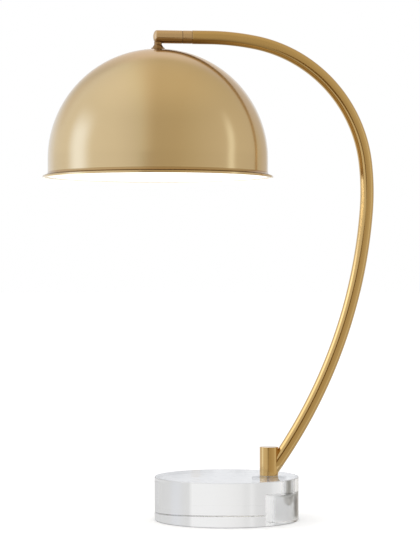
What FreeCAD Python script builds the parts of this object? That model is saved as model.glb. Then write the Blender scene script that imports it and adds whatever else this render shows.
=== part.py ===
import FreeCAD, Part

import math
import os

import Sketcher

# Arc table lamp: a dome shade on a swivelling head, a bent tube arm, a short post
# and a clear glass disc. +Z is up, the origin lies on the table under the disc's
# centre, +X runs from that centre towards the post, and the shade hangs on -X.

# Driving dimensions: lengths in millimetres, names ending in _angle in degrees.
SIZES = {
    # Glass disc with a stepped bore under the post
    "base_diameter": 170.0,
    "base_thickness": 51.0,
    "base_bevel": 0.8,
    "stud_bore_diameter": 14.0,
    "well_diameter": 40.0,
    "well_depth": 31.0,
    # Post and what clamps it to the glass
    "post_inset": 34.5,
    "post_diameter": 22.0,
    "post_height": 34.0,
    "post_bevel": 0.4,
    "gasket_diameter": 18.0,
    "gasket_thickness": 1.0,
    "gasket_proud": 0.2,
    "stud_diameter": 8.0,
    "stud_engagement": 9.5,
    "stud_tail": 2.5,
    "clamp_pad_diameter": 27.0,
    "clamp_pad_thickness": 1.5,
    "clamp_washer_diameter": 24.0,
    "clamp_washer_thickness": 1.6,
    "spring_ring_diameter": 14.0,
    "spring_ring_thickness": 1.8,
    "clamp_nut_flats": 13.0,
    "clamp_nut_thickness": 6.5,
    # Lead way through the post
    "leadway_diameter": 9.0,
    "leadway_rise": 20.0,
    "grommet_diameter": 9.0,
    "grommet_length": 5.0,
    "grommet_flange_diameter": 11.0,
    "grommet_flange_thickness": 1.4,
    "grommet_bore_diameter": 6.2,
    "grommet_seat_depth": 1.5,
    # Bent arm, from its foot on the post to its level end
    "arm_diameter": 16.0,
    "arm_wall": 1.2,
    "arm_foot_rise": 1.1,
    "arm_foot_run": 30.0,
    "arm_sweep_radius": 598.0,
    "arm_sweep_angle": 29.5,
    "arm_blend_radius": 292.5,
    "arm_blend_angle": 11.2,
    "arm_shoulder_radius": 163.3,
    "arm_shoulder_angle": 72.7,
    "arm_ease_radius": 300.0,
    "arm_ease_angle": 10.6,
    "arm_lead_run": 20.3,
    # Swivel between the arm and the head
    "head_diameter": 15.4,
    "collar_length": 11.4,
    "collar_spigot_length": 13.0,
    "collar_bevel": 0.3,
    "friction_disc_diameter": 14.2,
    "friction_disc_thickness": 0.5,
    "spindle_diameter": 8.0,
    "spindle_bore_diameter": 4.6,
    "spindle_tail": 1.0,
    "running_clearance": 0.06,
    "spring_washer_diameter": 12.4,
    "spring_washer_thickness": 0.8,
    "spring_washer_cone": 0.5,
    "swivel_nut_diameter": 12.8,
    "swivel_nut_thickness": 4.0,
    "swivel_nut_slot": 2.0,
    "stop_pin_diameter": 1.2,
    "stop_pin_orbit": 5.2,
    "stop_pin_seat": 4.0,
    "stop_pin_reach": 2.4,
    "stop_clearance": 0.3,
    "swivel_half_range_angle": 90.0,
    "head_bush_length": 11.0,
    "lock_nut_thickness": 3.5,
    # Head barrel with its domed end, and the neck under it
    "barrel_length": 29.6,
    "barrel_bore_diameter": 12.8,
    "dome_depth": 4.6,
    "dome_edge_radius": 3.2,
    "neck_offset": 28.8,
    "neck_seat_rise": 1.7,
    "neck_diameter": 9.2,
    "bell_flank_radius": 8.9,
    "bell_waist_diameter": 13.2,
    "bell_height": 3.4,
    "bell_rim_diameter": 16.0,
    "bell_rim_height": 1.8,
    "nipple_diameter": 8.0,
    "nipple_bore_diameter": 5.6,
    "nipple_length": 21.5,
    "nipple_head_gap": 2.9,
    # Spun shade
    "shade_drop": 14.8,
    "shade_radius": 129.3,
    "shade_wall": 0.8,
    "shade_skirt_height": 15.7,
    "lip_cove_radius": 3.4,
    "lip_corner_radius": 1.6,
    "lip_ledge": 1.0,
    "lip_drop": 3.5,
    "shade_hole_diameter": 8.4,
    "shade_washer_diameter": 26.0,
    "shade_washer_thickness": 1.2,
    "shade_nut_flats": 13.0,
    "shade_nut_thickness": 4.0,
    # Lampholder
    "holder_diameter": 39.0,
    "holder_wall": 1.0,
    "holder_cap_height": 19.0,
    "holder_cap_shoulder": 7.0,
    "holder_boss_diameter": 14.0,
    "holder_boss_height": 4.0,
    "holder_body_height": 31.0,
    "holder_body_wall": 2.4,
    "holder_floor_thickness": 5.0,
    "holder_lip_height": 3.0,
    "holder_lip_reach": 1.6,
    "socket_thread_diameter": 27.0,
    "socket_thread_wall": 0.4,
    "contact_width": 5.0,
    "contact_thickness": 0.5,
    "contact_length": 9.0,
    "contact_spring_height": 1.8,
    # Bulb
    "bulb_cap_diameter": 26.0,
    "bulb_cap_wall": 0.5,
    "bulb_cap_height": 22.0,
    "bulb_insulator_height": 2.6,
    "bulb_contact_diameter": 9.5,
    "bulb_contact_height": 1.0,
    "bulb_body_height": 30.0,
    "bulb_neck_diameter": 28.0,
    "bulb_body_diameter": 54.0,
    "bulb_globe_diameter": 60.0,
    "bulb_wall": 1.0,
    # Internal lead and general fits
    "lead_diameter": 3.2,
    "lead_turn_radius": 8.0,
    "lead_elbow_radius": 3.2,
    "lead_tail": 4.0,
    "fit_clearance": 0.05,
    "cut_overrun": 2.0,
}
HEX_SIDES = 6
FULL_TURN = 360.0
HALF_TURN = 180.0
QUARTER_TURN = 90.0


class Size:
    """A size that carries its number and the formula that binds it to the sheets."""

    def __init__(self, number, formula):
        self.number = number
        self.formula = formula

    def __add__(self, other):
        return Size(self.number + other.number, "(%s + %s)" % (self.formula, other.formula))

    def __sub__(self, other):
        return Size(self.number - other.number, "(%s - %s)" % (self.formula, other.formula))

    def __mul__(self, other):
        return Size(self.number * other.number, "(%s * %s)" % (self.formula, other.formula))

    def __truediv__(self, other):
        return Size(self.number / other.number, "(%s / %s)" % (self.formula, other.formula))

    def __neg__(self):
        return ZERO - self


class Sizes:
    """The sheet's cells as attributes."""


ZERO = Size(0.0, "0")


def constant(number):
    """A plain count, share or angle as a size of its own."""
    return Size(number, repr(number))


def half(size):
    return Size(size.number / 2, "(%s / 2)" % size.formula)


def double(size):
    return size + size


def root(size):
    return Size(math.sqrt(size.number), "sqrt(%s)" % size.formula)


def cosine(angle):
    return Size(math.cos(math.radians(angle.number)), "cos(%s)" % angle.formula)


def sine(angle):
    return Size(math.sin(math.radians(angle.number)), "sin(%s)" % angle.formula)


def tangent(angle):
    return Size(math.tan(math.radians(angle.number)), "tan(%s)" % angle.formula)


def sagitta(radius, reach):
    """How far a sphere falls away from its pole at a given distance from the axis."""
    return radius - root(radius * radius - reach * reach)


doc = FreeCAD.newDocument("arc_table_lamp")
dims = doc.addObject("Spreadsheet::Sheet", "dims")
places = doc.addObject("Spreadsheet::Sheet", "places")
parts = {}
S = Sizes()
for row, (alias, value) in enumerate(SIZES.items(), start=1):
    dims.set("A%d" % row, alias)
    dims.set("B%d" % row, str(value))
    dims.setAlias("B%d" % row, alias)
    setattr(S, alias, Size(value, "dims." + alias))
place_rows = iter(range(1, len(SIZES)))


def place(alias, size):
    """Keep a worked-out place as a formula cell of the second sheet."""
    row = next(place_rows)
    places.set("A%d" % row, alias)
    places.set("B%d" % row, "=" + size.formula)
    places.setAlias("B%d" % row, alias)
    return Size(size.number, "places." + alias)


# Places worked out from the driving dimensions.
BASE_TOP = S.base_thickness
POST_X = place("post_x", half(S.base_diameter) - S.post_inset)
POST_TOP = place("post_top", BASE_TOP + S.post_height)
POST_FOOT = place("post_foot", BASE_TOP + S.gasket_proud)
WELL_TOP = S.well_depth
LEADWAY_HEIGHT = place("leadway_height", BASE_TOP + S.leadway_rise)
ARM_STRETCHES = (
    (S.arm_sweep_radius, S.arm_sweep_angle),
    (S.arm_blend_radius, S.arm_blend_angle),
    (S.arm_shoulder_radius, S.arm_shoulder_angle),
    (S.arm_ease_radius, S.arm_ease_angle),
)


def arm_places():
    """The arm's joints between its straight and round stretches, from foot to end."""
    heading = constant(HALF_TURN)
    for radius, turn in ARM_STRETCHES:
        heading = heading - turn
    heading = place("arm_heading_0", heading)
    x = POST_X
    z = place("arm_foot_height", BASE_TOP + S.arm_foot_rise)
    joints = [(x, z)]
    x = place("arm_x_0", x + S.arm_foot_run * cosine(heading))
    z = place("arm_z_0", z + S.arm_foot_run * sine(heading))
    joints.append((x, z))
    headings = [heading]
    for index, (radius, turn) in enumerate(ARM_STRETCHES, start=1):
        ahead = place("arm_heading_%d" % index, heading + turn)
        x = place("arm_x_%d" % index, x + radius * (sine(ahead) - sine(heading)))
        z = place("arm_z_%d" % index, z + radius * (cosine(heading) - cosine(ahead)))
        joints.append((x, z))
        headings.append(ahead)
        heading = ahead
    return joints, headings


ARM_JOINTS, ARM_HEADINGS = arm_places()
ARM_FOOT = ARM_JOINTS[0]
AXIS_HEIGHT = place("axis_height", ARM_JOINTS[-1][1])
ARM_END = place("arm_end", ARM_JOINTS[-1][0] - S.arm_lead_run)
ARM_BORE = place("arm_bore", half(S.arm_diameter) - S.arm_wall)

# Along the swivel, from the arm's end towards the domed end.
SEAM = place("seam", S.collar_length)
BARREL_START = place("barrel_start", SEAM + S.friction_disc_thickness)
BUSH_END = place("bush_end", BARREL_START + S.head_bush_length)
LOCK_NUT_END = place("lock_nut_end", BUSH_END + S.lock_nut_thickness)
SPINDLE_END = place("spindle_end", LOCK_NUT_END + S.spindle_tail)
BARREL_BORE_END = place("barrel_bore_end", SPINDLE_END + S.spindle_tail)
BARREL_END = place("barrel_end", BARREL_START + S.barrel_length)
NECK_REACH = place("neck_reach", SEAM + S.neck_offset)
NECK_X = place("neck_x", ARM_END - NECK_REACH)
SPRING_START = place("spring_start", S.collar_spigot_length + S.running_clearance)
NUT_START = place("nut_start", SPRING_START + S.spring_washer_thickness + S.spring_washer_cone)
NUT_END = place("nut_end", NUT_START + S.swivel_nut_thickness)
SPINDLE_START = place("spindle_start", NUT_END + S.spindle_tail)

# Down the neck, from the swivel axis to the bulb.
HEAD_RADIUS = place("head_radius", half(S.head_diameter))
NECK_TOP = place("neck_top", AXIS_HEIGHT - HEAD_RADIUS + S.neck_seat_rise)
SHADE_TOP = place("shade_top", AXIS_HEIGHT - S.shade_drop)
SHADE_CENTRE = place("shade_centre", SHADE_TOP - S.shade_radius)
SHADE_INNER = place("shade_inner", S.shade_radius - S.shade_wall)
LIP_RADIUS = place("lip_radius", S.shade_radius + S.lip_cove_radius + S.lip_ledge + S.lip_corner_radius)
NIPPLE_TOP = place("nipple_top", AXIS_HEIGHT - S.nipple_head_gap)
WASHER_TOP = place(
    "washer_top",
    SHADE_CENTRE + SHADE_INNER - sagitta(SHADE_INNER, half(S.shade_washer_diameter)),
)
SHADE_NUT_TOP = place("shade_nut_top", WASHER_TOP - S.shade_washer_thickness)
HOLDER_TOP = place("holder_top", SHADE_NUT_TOP - S.shade_nut_thickness)
HOLDER_CAP_FOOT = place("holder_cap_foot", HOLDER_TOP - S.holder_cap_height)
HOLDER_RADIUS = place("holder_radius", half(S.holder_diameter))
HOLDER_FLOOR = place("holder_floor", HOLDER_CAP_FOOT - S.holder_floor_thickness)
HOLDER_FOOT = place("holder_foot", HOLDER_CAP_FOOT - S.holder_body_height)
CONTACT_TIP = place("contact_tip", HOLDER_FLOOR - S.contact_spring_height)
BULB_CAP_TOP = place("bulb_cap_top", CONTACT_TIP - S.bulb_contact_height - S.bulb_insulator_height)
BULB_CAP_FOOT = place("bulb_cap_foot", BULB_CAP_TOP - S.bulb_cap_height)
BULB_BODY_FOOT = place("bulb_body_foot", BULB_CAP_FOOT - S.bulb_body_height)


def bind(thing, prop, size):
    """Tie one property to its formula."""
    thing.setExpression(prop, size.formula)


def set_place(thing, x=ZERO, y=ZERO, z=ZERO, rotation=FreeCAD.Rotation()):
    """Put an object at a place worked out from the sheets."""
    thing.Placement = FreeCAD.Placement(FreeCAD.Vector(x.number, y.number, z.number), rotation)
    for letter, size in (("x", x), ("y", y), ("z", z)):
        bind(thing, "Placement.Base." + letter, size)


def keep(label, thing):
    """Name a finished sub-part."""
    thing.Label = label
    parts[label] = thing
    return thing


def origin_plane(body, role):
    for feature in body.Origin.OriginFeatures:
        if feature.Role == role:
            return feature
    raise RuntimeError("no plane " + role)


def new_sketch(body, name, role):
    sketch = body.newObject("Sketcher::SketchObject", name)
    sketch.AttachmentSupport = [(origin_plane(body, role), "")]
    sketch.MapMode = "FlatFace"
    return sketch


def pin_point(sketch, edge, end, point):
    """Tie one end of an edge to its two coordinates."""
    for kind, size in zip(("DistanceX", "DistanceY"), point):
        index = sketch.addConstraint(Sketcher.Constraint(kind, -1, 1, edge, end, size.number))
        if size is not ZERO:
            bind(sketch, "Constraints[%d]" % index, size)


def arc_between(start, end, radius, clockwise):
    """The shorter arc of a radius from one point to the next."""
    ax, az = start[0].number, start[1].number
    bx, bz = end[0].number, end[1].number
    chord = math.hypot(bx - ax, bz - az)
    height = math.sqrt(max(radius.number ** 2 - (chord / 2) ** 2, 0.0))
    side = -1 if clockwise else 1
    middle_x = (ax + bx) / 2 - side * height * (bz - az) / chord
    middle_z = (az + bz) / 2 + side * height * (bx - ax) / chord
    first = math.atan2(az - middle_z, ax - middle_x)
    last = math.atan2(bz - middle_z, bx - middle_x)
    if clockwise:
        first, last = last, first
    circle = Part.Circle(FreeCAD.Vector(middle_x, middle_z, 0), FreeCAD.Vector(0, 0, 1), radius.number)
    return Part.ArcOfCircle(circle, first, last)


def draw(sketch, outline, closed=True):
    """Draw lines and arcs through an outline whose every point is bound.

    A point is (x, z), or (x, z, radius) where an arc of that radius leads to it,
    turning left, or (x, z, radius, "right") where it turns right.
    """
    edges = []
    count = len(outline)
    for index in range(count if closed else count - 1):
        start = outline[index]
        end = outline[(index + 1) % count]
        clockwise = len(end) == 4
        if len(end) > 2:
            edge = sketch.addGeometry(arc_between(start, end, end[2], clockwise), False)
        else:
            line = Part.LineSegment(
                FreeCAD.Vector(start[0].number, start[1].number, 0),
                FreeCAD.Vector(end[0].number, end[1].number, 0),
            )
            edge = sketch.addGeometry(line, False)
        ends = (2, 1) if clockwise else (1, 2)
        edges.append((edge, ends))
        if index > 0:
            last_edge, last_ends = edges[index - 1]
            sketch.addConstraint(Sketcher.Constraint("Coincident", last_edge, last_ends[1], edge, ends[0]))
        pin_point(sketch, edge, ends[0], start[:2])
        if len(end) > 2:
            place_radius = sketch.addConstraint(Sketcher.Constraint("Radius", edge, end[2].number))
            bind(sketch, "Constraints[%d]" % place_radius, end[2])
    last_edge, last_ends = edges[-1]
    if closed:
        edge, ends = edges[0]
        sketch.addConstraint(Sketcher.Constraint("Coincident", last_edge, last_ends[1], edge, ends[0]))
    else:
        pin_point(sketch, last_edge, last_ends[1], outline[-1][:2])


def turned(label, outline):
    """A body turned about its own Z axis from a closed half outline."""
    body = doc.addObject("PartDesign::Body", label)
    sketch = new_sketch(body, label + "_outline", "XZ_Plane")
    draw(sketch, outline)
    turn = body.newObject("PartDesign::Revolution", label + "_turned")
    turn.Profile = sketch
    turn.ReferenceAxis = (sketch, ["V_Axis"])
    turn.Angle = FULL_TURN
    return keep(label, body)


def ring(label, inner, outer, low, high):
    """A plain washer, tube or disc between two heights."""
    return turned(label, [(inner, low), (outer, low), (outer, high), (inner, high)])


def circle_pocket(body, name, centre, radius, low, depth):
    """Drill a round hole up into a body, from one height of its own Z axis."""
    sketch = new_sketch(body, name + "_circle", "XY_Plane")
    sketch.AttachmentOffset = FreeCAD.Placement(FreeCAD.Vector(0, 0, low.number), FreeCAD.Rotation())
    bind(sketch, "AttachmentOffset.Base.z", low)
    middle = FreeCAD.Vector(centre[0].number, centre[1].number, 0)
    edge = sketch.addGeometry(Part.Circle(middle, FreeCAD.Vector(0, 0, 1), radius.number), False)
    pin_point(sketch, edge, 3, centre)
    index = sketch.addConstraint(Sketcher.Constraint("Radius", edge, radius.number))
    bind(sketch, "Constraints[%d]" % index, radius)
    pocket = body.newObject("PartDesign::Pocket", name)
    pocket.Profile = sketch
    pocket.Reversed = True
    bind(pocket, "Length", depth)


def cylinder(name, radius, height):
    tool = doc.addObject("Part::Cylinder", name)
    bind(tool, "Radius", radius)
    bind(tool, "Height", height)
    return tool


def cut(label, base, *tools):
    """Take tools away from a base, one after the other, and keep the result."""
    for index, tool in enumerate(tools):
        result = doc.addObject("Part::Cut", "%s_cut_%d" % (label, index))
        result.Base = base
        result.Tool = tool
        base = result
    return keep(label, base)


def hex_nut(label, flats, bore, low, thickness):
    """A hexagon nut with a plain bore, resting on the height called low."""
    body = doc.addObject("PartDesign::Body", label)
    sketch = new_sketch(body, label + "_hexagon", "XY_Plane")
    corner = half(flats) / cosine(constant(FULL_TURN / (2 * HEX_SIDES)))
    outline = []
    for side in range(HEX_SIDES):
        angle = constant(side * FULL_TURN / HEX_SIDES)
        outline.append((corner * cosine(angle), corner * sine(angle)))
    draw(sketch, outline)
    hole = sketch.addGeometry(
        Part.Circle(FreeCAD.Vector(), FreeCAD.Vector(0, 0, 1), bore.number), False
    )
    sketch.addConstraint(Sketcher.Constraint("Coincident", hole, 3, -1, 1))
    index = sketch.addConstraint(Sketcher.Constraint("Radius", hole, bore.number))
    bind(sketch, "Constraints[%d]" % index, bore)
    pad = body.newObject("PartDesign::Pad", label + "_pad")
    pad.Profile = sketch
    bind(pad, "Length", thickness)
    return keep(label, body)


def sweep(name, spine, radius, start, rotation):
    """A round bar along an open sketch in the arm's plane."""
    section = doc.addObject("Part::Circle", name + "_section")
    bind(section, "Radius", radius)
    set_place(section, start[0], ZERO, start[1], rotation)
    bar = doc.addObject("Part::Sweep", name)
    bar.Sections = [section]
    bar.Spine = (spine, ["Edge%d" % (index + 1) for index in range(spine.GeometryCount)])
    bar.Solid = True
    return bar


def plane_path(name, points):
    """An open path in the XZ plane."""
    sketch = doc.addObject("Sketcher::SketchObject", name)
    sketch.Placement = FreeCAD.Placement(
        FreeCAD.Vector(), FreeCAD.Rotation(FreeCAD.Vector(1, 0, 0), QUARTER_TURN)
    )
    draw(sketch, points, closed=False)
    return sketch


def heading_rotation(heading):
    """Turn a section's normal from +Z to a heading in the XZ plane."""
    return FreeCAD.Rotation(FreeCAD.Vector(0, 1, 0), QUARTER_TURN - heading.number)


TO_HEAD = FreeCAD.Rotation(FreeCAD.Vector(0, 1, 0), -QUARTER_TURN)
TO_POST = FreeCAD.Rotation(FreeCAD.Vector(0, 1, 0), QUARTER_TURN)
TO_REAR = FreeCAD.Rotation(FreeCAD.Vector(1, 0, 0), -QUARTER_TURN)


def on_swivel(thing):
    """Lay a turned piece along the swivel, its Z running from the arm's end to the dome."""
    set_place(thing, ARM_END, ZERO, AXIS_HEIGHT, TO_HEAD)
    return thing


def on_neck(thing):
    """Stand a turned piece on the neck's axis, its own heights being the real ones."""
    set_place(thing, NECK_X)
    return thing


def on_post(thing):
    set_place(thing, POST_X)
    return thing


def make_base():
    """The glass disc with bevelled edges, its stud bore and the well under it."""
    radius = half(S.base_diameter)
    body = turned("base_disc", [
        (ZERO, ZERO),
        (radius - S.base_bevel, ZERO),
        (radius, S.base_bevel),
        (radius, BASE_TOP - S.base_bevel),
        (radius - S.base_bevel, BASE_TOP),
        (ZERO, BASE_TOP),
    ])
    centre = (POST_X, ZERO)
    circle_pocket(body, "well", centre, half(S.well_diameter), ZERO, WELL_TOP)
    circle_pocket(body, "stud_bore", centre, half(S.stud_bore_diameter), ZERO, BASE_TOP + S.cut_overrun)


def make_post():
    """The bar post: threaded from below, drilled across for the lead, seated for its grommet."""
    radius = half(S.post_diameter)
    recess_top = BASE_TOP + S.gasket_thickness
    hole_top = BASE_TOP + S.stud_engagement + S.stud_tail
    blank = turned("post_blank", [
        (half(S.stud_diameter), recess_top),
        (half(S.gasket_diameter), recess_top),
        (half(S.gasket_diameter), POST_FOOT),
        (radius, POST_FOOT),
        (radius, POST_TOP - S.post_bevel),
        (radius - S.post_bevel, POST_TOP),
        (ZERO, POST_TOP),
        (ZERO, hole_top),
        (half(S.stud_diameter), hole_top),
    ])
    del parts["post_blank"]
    on_post(blank)
    reach = radius + S.cut_overrun
    across = cylinder("leadway_across", half(S.leadway_diameter), reach)
    set_place(across, POST_X, ZERO, LEADWAY_HEIGHT, TO_POST)
    past_middle = half(S.leadway_diameter)
    rear = cylinder("leadway_rear", half(S.grommet_diameter) + S.fit_clearance, reach + past_middle)
    set_place(rear, POST_X, -past_middle, LEADWAY_HEIGHT, TO_REAR)
    seat = cylinder("grommet_seat", half(S.grommet_flange_diameter) + S.fit_clearance, reach)
    set_place(seat, POST_X, radius - S.grommet_seat_depth, LEADWAY_HEIGHT, TO_REAR)
    cut("post", blank, across, rear, seat)


def make_clamp():
    """What holds the post on the glass, from the gasket down to the nut in the well."""
    stud_radius = half(S.stud_diameter)
    on_post(ring("post_gasket", stud_radius + S.stop_clearance, half(S.gasket_diameter) - S.fit_clearance,
                 BASE_TOP, BASE_TOP + S.gasket_thickness))
    pad_low = WELL_TOP - S.clamp_pad_thickness
    washer_low = pad_low - S.clamp_washer_thickness
    spring_low = washer_low - S.spring_ring_thickness
    nut_low = spring_low - S.clamp_nut_thickness
    on_post(ring("clamp_pad", stud_radius + S.stop_clearance, half(S.clamp_pad_diameter), pad_low, WELL_TOP))
    on_post(ring("clamp_washer", stud_radius + S.stop_clearance, half(S.clamp_washer_diameter),
                 washer_low, pad_low))
    on_post(ring("spring_ring", stud_radius + S.stop_clearance, half(S.spring_ring_diameter),
                 spring_low, washer_low))
    nut = hex_nut("clamp_nut", S.clamp_nut_flats, stud_radius, nut_low, S.clamp_nut_thickness)
    set_place(nut, POST_X, ZERO, nut_low)
    on_post(ring("post_stud", ZERO, stud_radius, nut_low - S.stud_tail, BASE_TOP + S.stud_engagement))


def make_grommet():
    """The flanged bush in the post's rear where a flex would leave."""
    bore = half(S.grommet_bore_diameter)
    flange = half(S.grommet_flange_diameter)
    shank = half(S.grommet_diameter)
    body = turned("lead_grommet", [
        (bore, -S.grommet_length),
        (shank, -S.grommet_length),
        (shank, ZERO),
        (flange, ZERO),
        (flange, S.grommet_flange_thickness),
        (bore, S.grommet_flange_thickness),
    ])
    seat = half(S.post_diameter) - S.grommet_seat_depth
    set_place(body, POST_X, seat, LEADWAY_HEIGHT, TO_REAR)


def arm_points():
    points = [ARM_FOOT, ARM_JOINTS[1]]
    for (x, z), (radius, turn) in zip(ARM_JOINTS[2:], ARM_STRETCHES):
        points.append((x, z, radius))
    points.append((ARM_END, AXIS_HEIGHT))
    return points


def make_arm():
    """The bent tube, its foot coped to the post's round side."""
    spine = plane_path("arm_centreline", arm_points())
    rotation = heading_rotation(ARM_HEADINGS[0])
    outer = sweep("arm_outside", spine, half(S.arm_diameter), ARM_FOOT, rotation)
    inner = sweep("arm_inside", spine, ARM_BORE, ARM_FOOT, rotation)
    cope = cylinder("arm_cope", half(S.post_diameter), S.post_height + double(S.base_thickness))
    set_place(cope, POST_X, ZERO, ZERO)
    cut("arm_tube", outer, inner, cope)


def make_arm_lead():
    """The two-core lead from the post's middle, up the arm, to the swivel's rear nut."""
    heading = ARM_HEADINGS[0]
    corner_x = place("lead_corner_x", POST_X + S.leadway_rise / tangent(heading)
                     - S.arm_foot_rise / tangent(heading))
    set_back = place("lead_set_back", S.lead_turn_radius * tangent(half(heading)))
    turn_x = corner_x + set_back * cosine(heading)
    turn_z = LEADWAY_HEIGHT + set_back * sine(heading)
    points = [
        (POST_X - S.lead_tail, LEADWAY_HEIGHT),
        (corner_x - set_back, LEADWAY_HEIGHT),
        (turn_x, turn_z, S.lead_turn_radius),
    ]
    points += arm_points()[1:-1]
    points.append((ARM_END + SPINDLE_START, AXIS_HEIGHT))
    spine = plane_path("arm_lead_route", points)
    lead = sweep("arm_lead_bar", spine, half(S.lead_diameter), points[0], TO_POST)
    keep("arm_lead", lead)


def make_collar():
    """The fixed half of the swivel, its spigot pressed in the arm's end."""
    outer = HEAD_RADIUS
    bore = half(S.spindle_diameter) + S.running_clearance
    body = turned("arm_collar", [
        (bore, -S.collar_spigot_length),
        (ARM_BORE - S.fit_clearance, -S.collar_spigot_length),
        (ARM_BORE - S.fit_clearance, ZERO),
        (outer - S.collar_bevel, ZERO),
        (outer, S.collar_bevel),
        (outer, SEAM - S.collar_bevel),
        (outer - S.collar_bevel, SEAM),
        (bore, SEAM),
    ])
    circle_pocket(body, "stop_pin_socket", (S.stop_pin_orbit, ZERO), half(S.stop_pin_diameter),
                  SEAM - S.stop_pin_seat, S.stop_pin_seat + S.cut_overrun)
    on_swivel(body)


def make_stop_pin():
    """The pin in the collar that limits the head's turn in the bush's groove."""
    low = SEAM - S.stop_pin_seat
    height = S.stop_pin_seat + S.friction_disc_thickness + S.stop_pin_reach
    pin = cylinder("stop_pin_bar", half(S.stop_pin_diameter), height)
    set_place(pin, ARM_END - low, ZERO, AXIS_HEIGHT + S.stop_pin_orbit, TO_HEAD)
    keep("stop_pin", pin)


def make_friction_disc():
    """The thin fibre disc whose dark edge shows as the seam, slipped over the stop pin."""
    bore = half(S.spindle_diameter) + S.running_clearance
    body = ring("friction_disc", bore, half(S.friction_disc_diameter), SEAM, BARREL_START)
    circle_pocket(body, "disc_pin_hole", (S.stop_pin_orbit, ZERO),
                  half(S.stop_pin_diameter) + S.fit_clearance, ZERO, BARREL_START + S.cut_overrun)
    on_swivel(body)


def make_spindle():
    """The hollow spindle that carries the head, with its nuts and spring washer in the arm."""
    radius = half(S.spindle_diameter)
    on_swivel(ring("swivel_spindle", half(S.spindle_bore_diameter), radius, -SPINDLE_START, SPINDLE_END))
    outer = half(S.spring_washer_diameter)
    inner = radius + S.running_clearance
    on_swivel(turned("spring_washer", [
        (inner, -SPRING_START - S.spring_washer_cone),
        (outer, -SPRING_START),
        (outer, -SPRING_START - S.spring_washer_thickness),
        (inner, -SPRING_START - S.spring_washer_thickness - S.spring_washer_cone),
    ]))
    blank = on_swivel(ring("swivel_nut_blank", radius, half(S.swivel_nut_diameter), -NUT_END, -NUT_START))
    del parts["swivel_nut_blank"]
    slot = doc.addObject("Part::Box", "swivel_nut_slot_tool")
    bind(slot, "Length", S.cut_overrun + half(S.swivel_nut_thickness))
    bind(slot, "Width", S.swivel_nut_diameter + S.cut_overrun)
    bind(slot, "Height", S.swivel_nut_slot)
    set_place(slot, ARM_END + NUT_END - half(S.swivel_nut_thickness),
              -half(S.swivel_nut_diameter + S.cut_overrun), AXIS_HEIGHT - half(S.swivel_nut_slot))
    cut("swivel_nut", blank, slot)
    on_swivel(ring("lock_nut", radius, half(S.barrel_bore_diameter) - S.stop_clearance,
                   BUSH_END, LOCK_NUT_END))


def make_head_bush():
    """The bush in the barrel's open end, with the arc groove in which the stop pin runs."""
    bore = half(S.spindle_diameter) + S.fit_clearance
    body = ring("head_bush", bore, half(S.barrel_bore_diameter) - S.fit_clearance, BARREL_START, BUSH_END)
    pin = half(S.stop_pin_diameter) + S.stop_clearance
    deep = BARREL_START + S.stop_pin_reach + S.stop_clearance
    sketch = new_sketch(body, "stop_groove_outline", "XZ_Plane")
    draw(sketch, [
        (S.stop_pin_orbit - pin, SEAM),
        (S.stop_pin_orbit + pin, SEAM),
        (S.stop_pin_orbit + pin, deep),
        (S.stop_pin_orbit - pin, deep),
    ])
    groove = body.newObject("PartDesign::Groove", "stop_groove")
    groove.Profile = sketch
    groove.ReferenceAxis = (sketch, ["V_Axis"])
    groove.Midplane = True
    pin_angle = math.degrees(math.asin(pin.number / S.stop_pin_orbit.number))
    groove.Angle = 2 * (S.swivel_half_range_angle.number + pin_angle)
    on_swivel(body)


def dome_outline():
    """The dome's crown and shoulder as two tangent arcs, from the barrel's side to the axis."""
    edge = S.dome_edge_radius
    depth = S.dome_depth
    shoulder_x = HEAD_RADIUS - edge
    crown = place("crown_radius", (shoulder_x * shoulder_x + depth * depth - edge * edge)
                  / double(depth - edge))
    share = crown / (crown - edge)
    return [
        (HEAD_RADIUS, BARREL_END),
        (shoulder_x * share, BARREL_END + depth - crown + (crown - depth) * share, edge),
        (ZERO, BARREL_END + depth, crown),
    ]


def make_barrel():
    """The turned head barrel with its domed end, bored for the bush, lead and nipple."""
    lead_bore = half(S.spindle_bore_diameter)
    bore_end = NECK_REACH + half(S.nipple_bore_diameter)
    bore = half(S.barrel_bore_diameter)
    blank = turned("barrel_blank", [
        (bore, BARREL_START),
        (HEAD_RADIUS - S.collar_bevel, BARREL_START),
        (HEAD_RADIUS, BARREL_START + S.collar_bevel),
    ] + dome_outline() + [
        (ZERO, bore_end),
        (lead_bore, bore_end),
        (lead_bore, BARREL_BORE_END),
        (bore, BARREL_BORE_END),
    ])
    del parts["barrel_blank"]
    on_swivel(blank)
    deep = double(S.nipple_diameter)
    tapped = cylinder("nipple_thread", half(S.nipple_diameter), deep)
    set_place(tapped, NECK_X, ZERO, AXIS_HEIGHT + half(S.lead_diameter) - deep)
    seat = cylinder("neck_seat", half(S.neck_diameter) + S.fit_clearance, deep)
    set_place(seat, NECK_X, ZERO, NECK_TOP - deep)
    cut("head_barrel", blank, tapped, seat)


def make_neck():
    """The neck with its bell rim on the shade, and the hollow nipple inside it."""
    bore = half(S.nipple_diameter) + S.fit_clearance
    neck = half(S.neck_diameter)
    foot = SHADE_TOP
    rim_top = foot + S.bell_rim_height
    bell_top = rim_top + S.bell_height
    on_neck(turned("neck_bell", [
        (bore, foot),
        (half(S.bell_rim_diameter), foot),
        (half(S.bell_rim_diameter), rim_top),
        (half(S.bell_waist_diameter), rim_top),
        (neck, bell_top, S.bell_flank_radius),
        (neck, NECK_TOP),
        (bore, NECK_TOP),
    ]))
    on_neck(ring("hollow_nipple", half(S.nipple_bore_diameter), half(S.nipple_diameter),
                 NIPPLE_TOP - S.nipple_length, NIPPLE_TOP))


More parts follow.
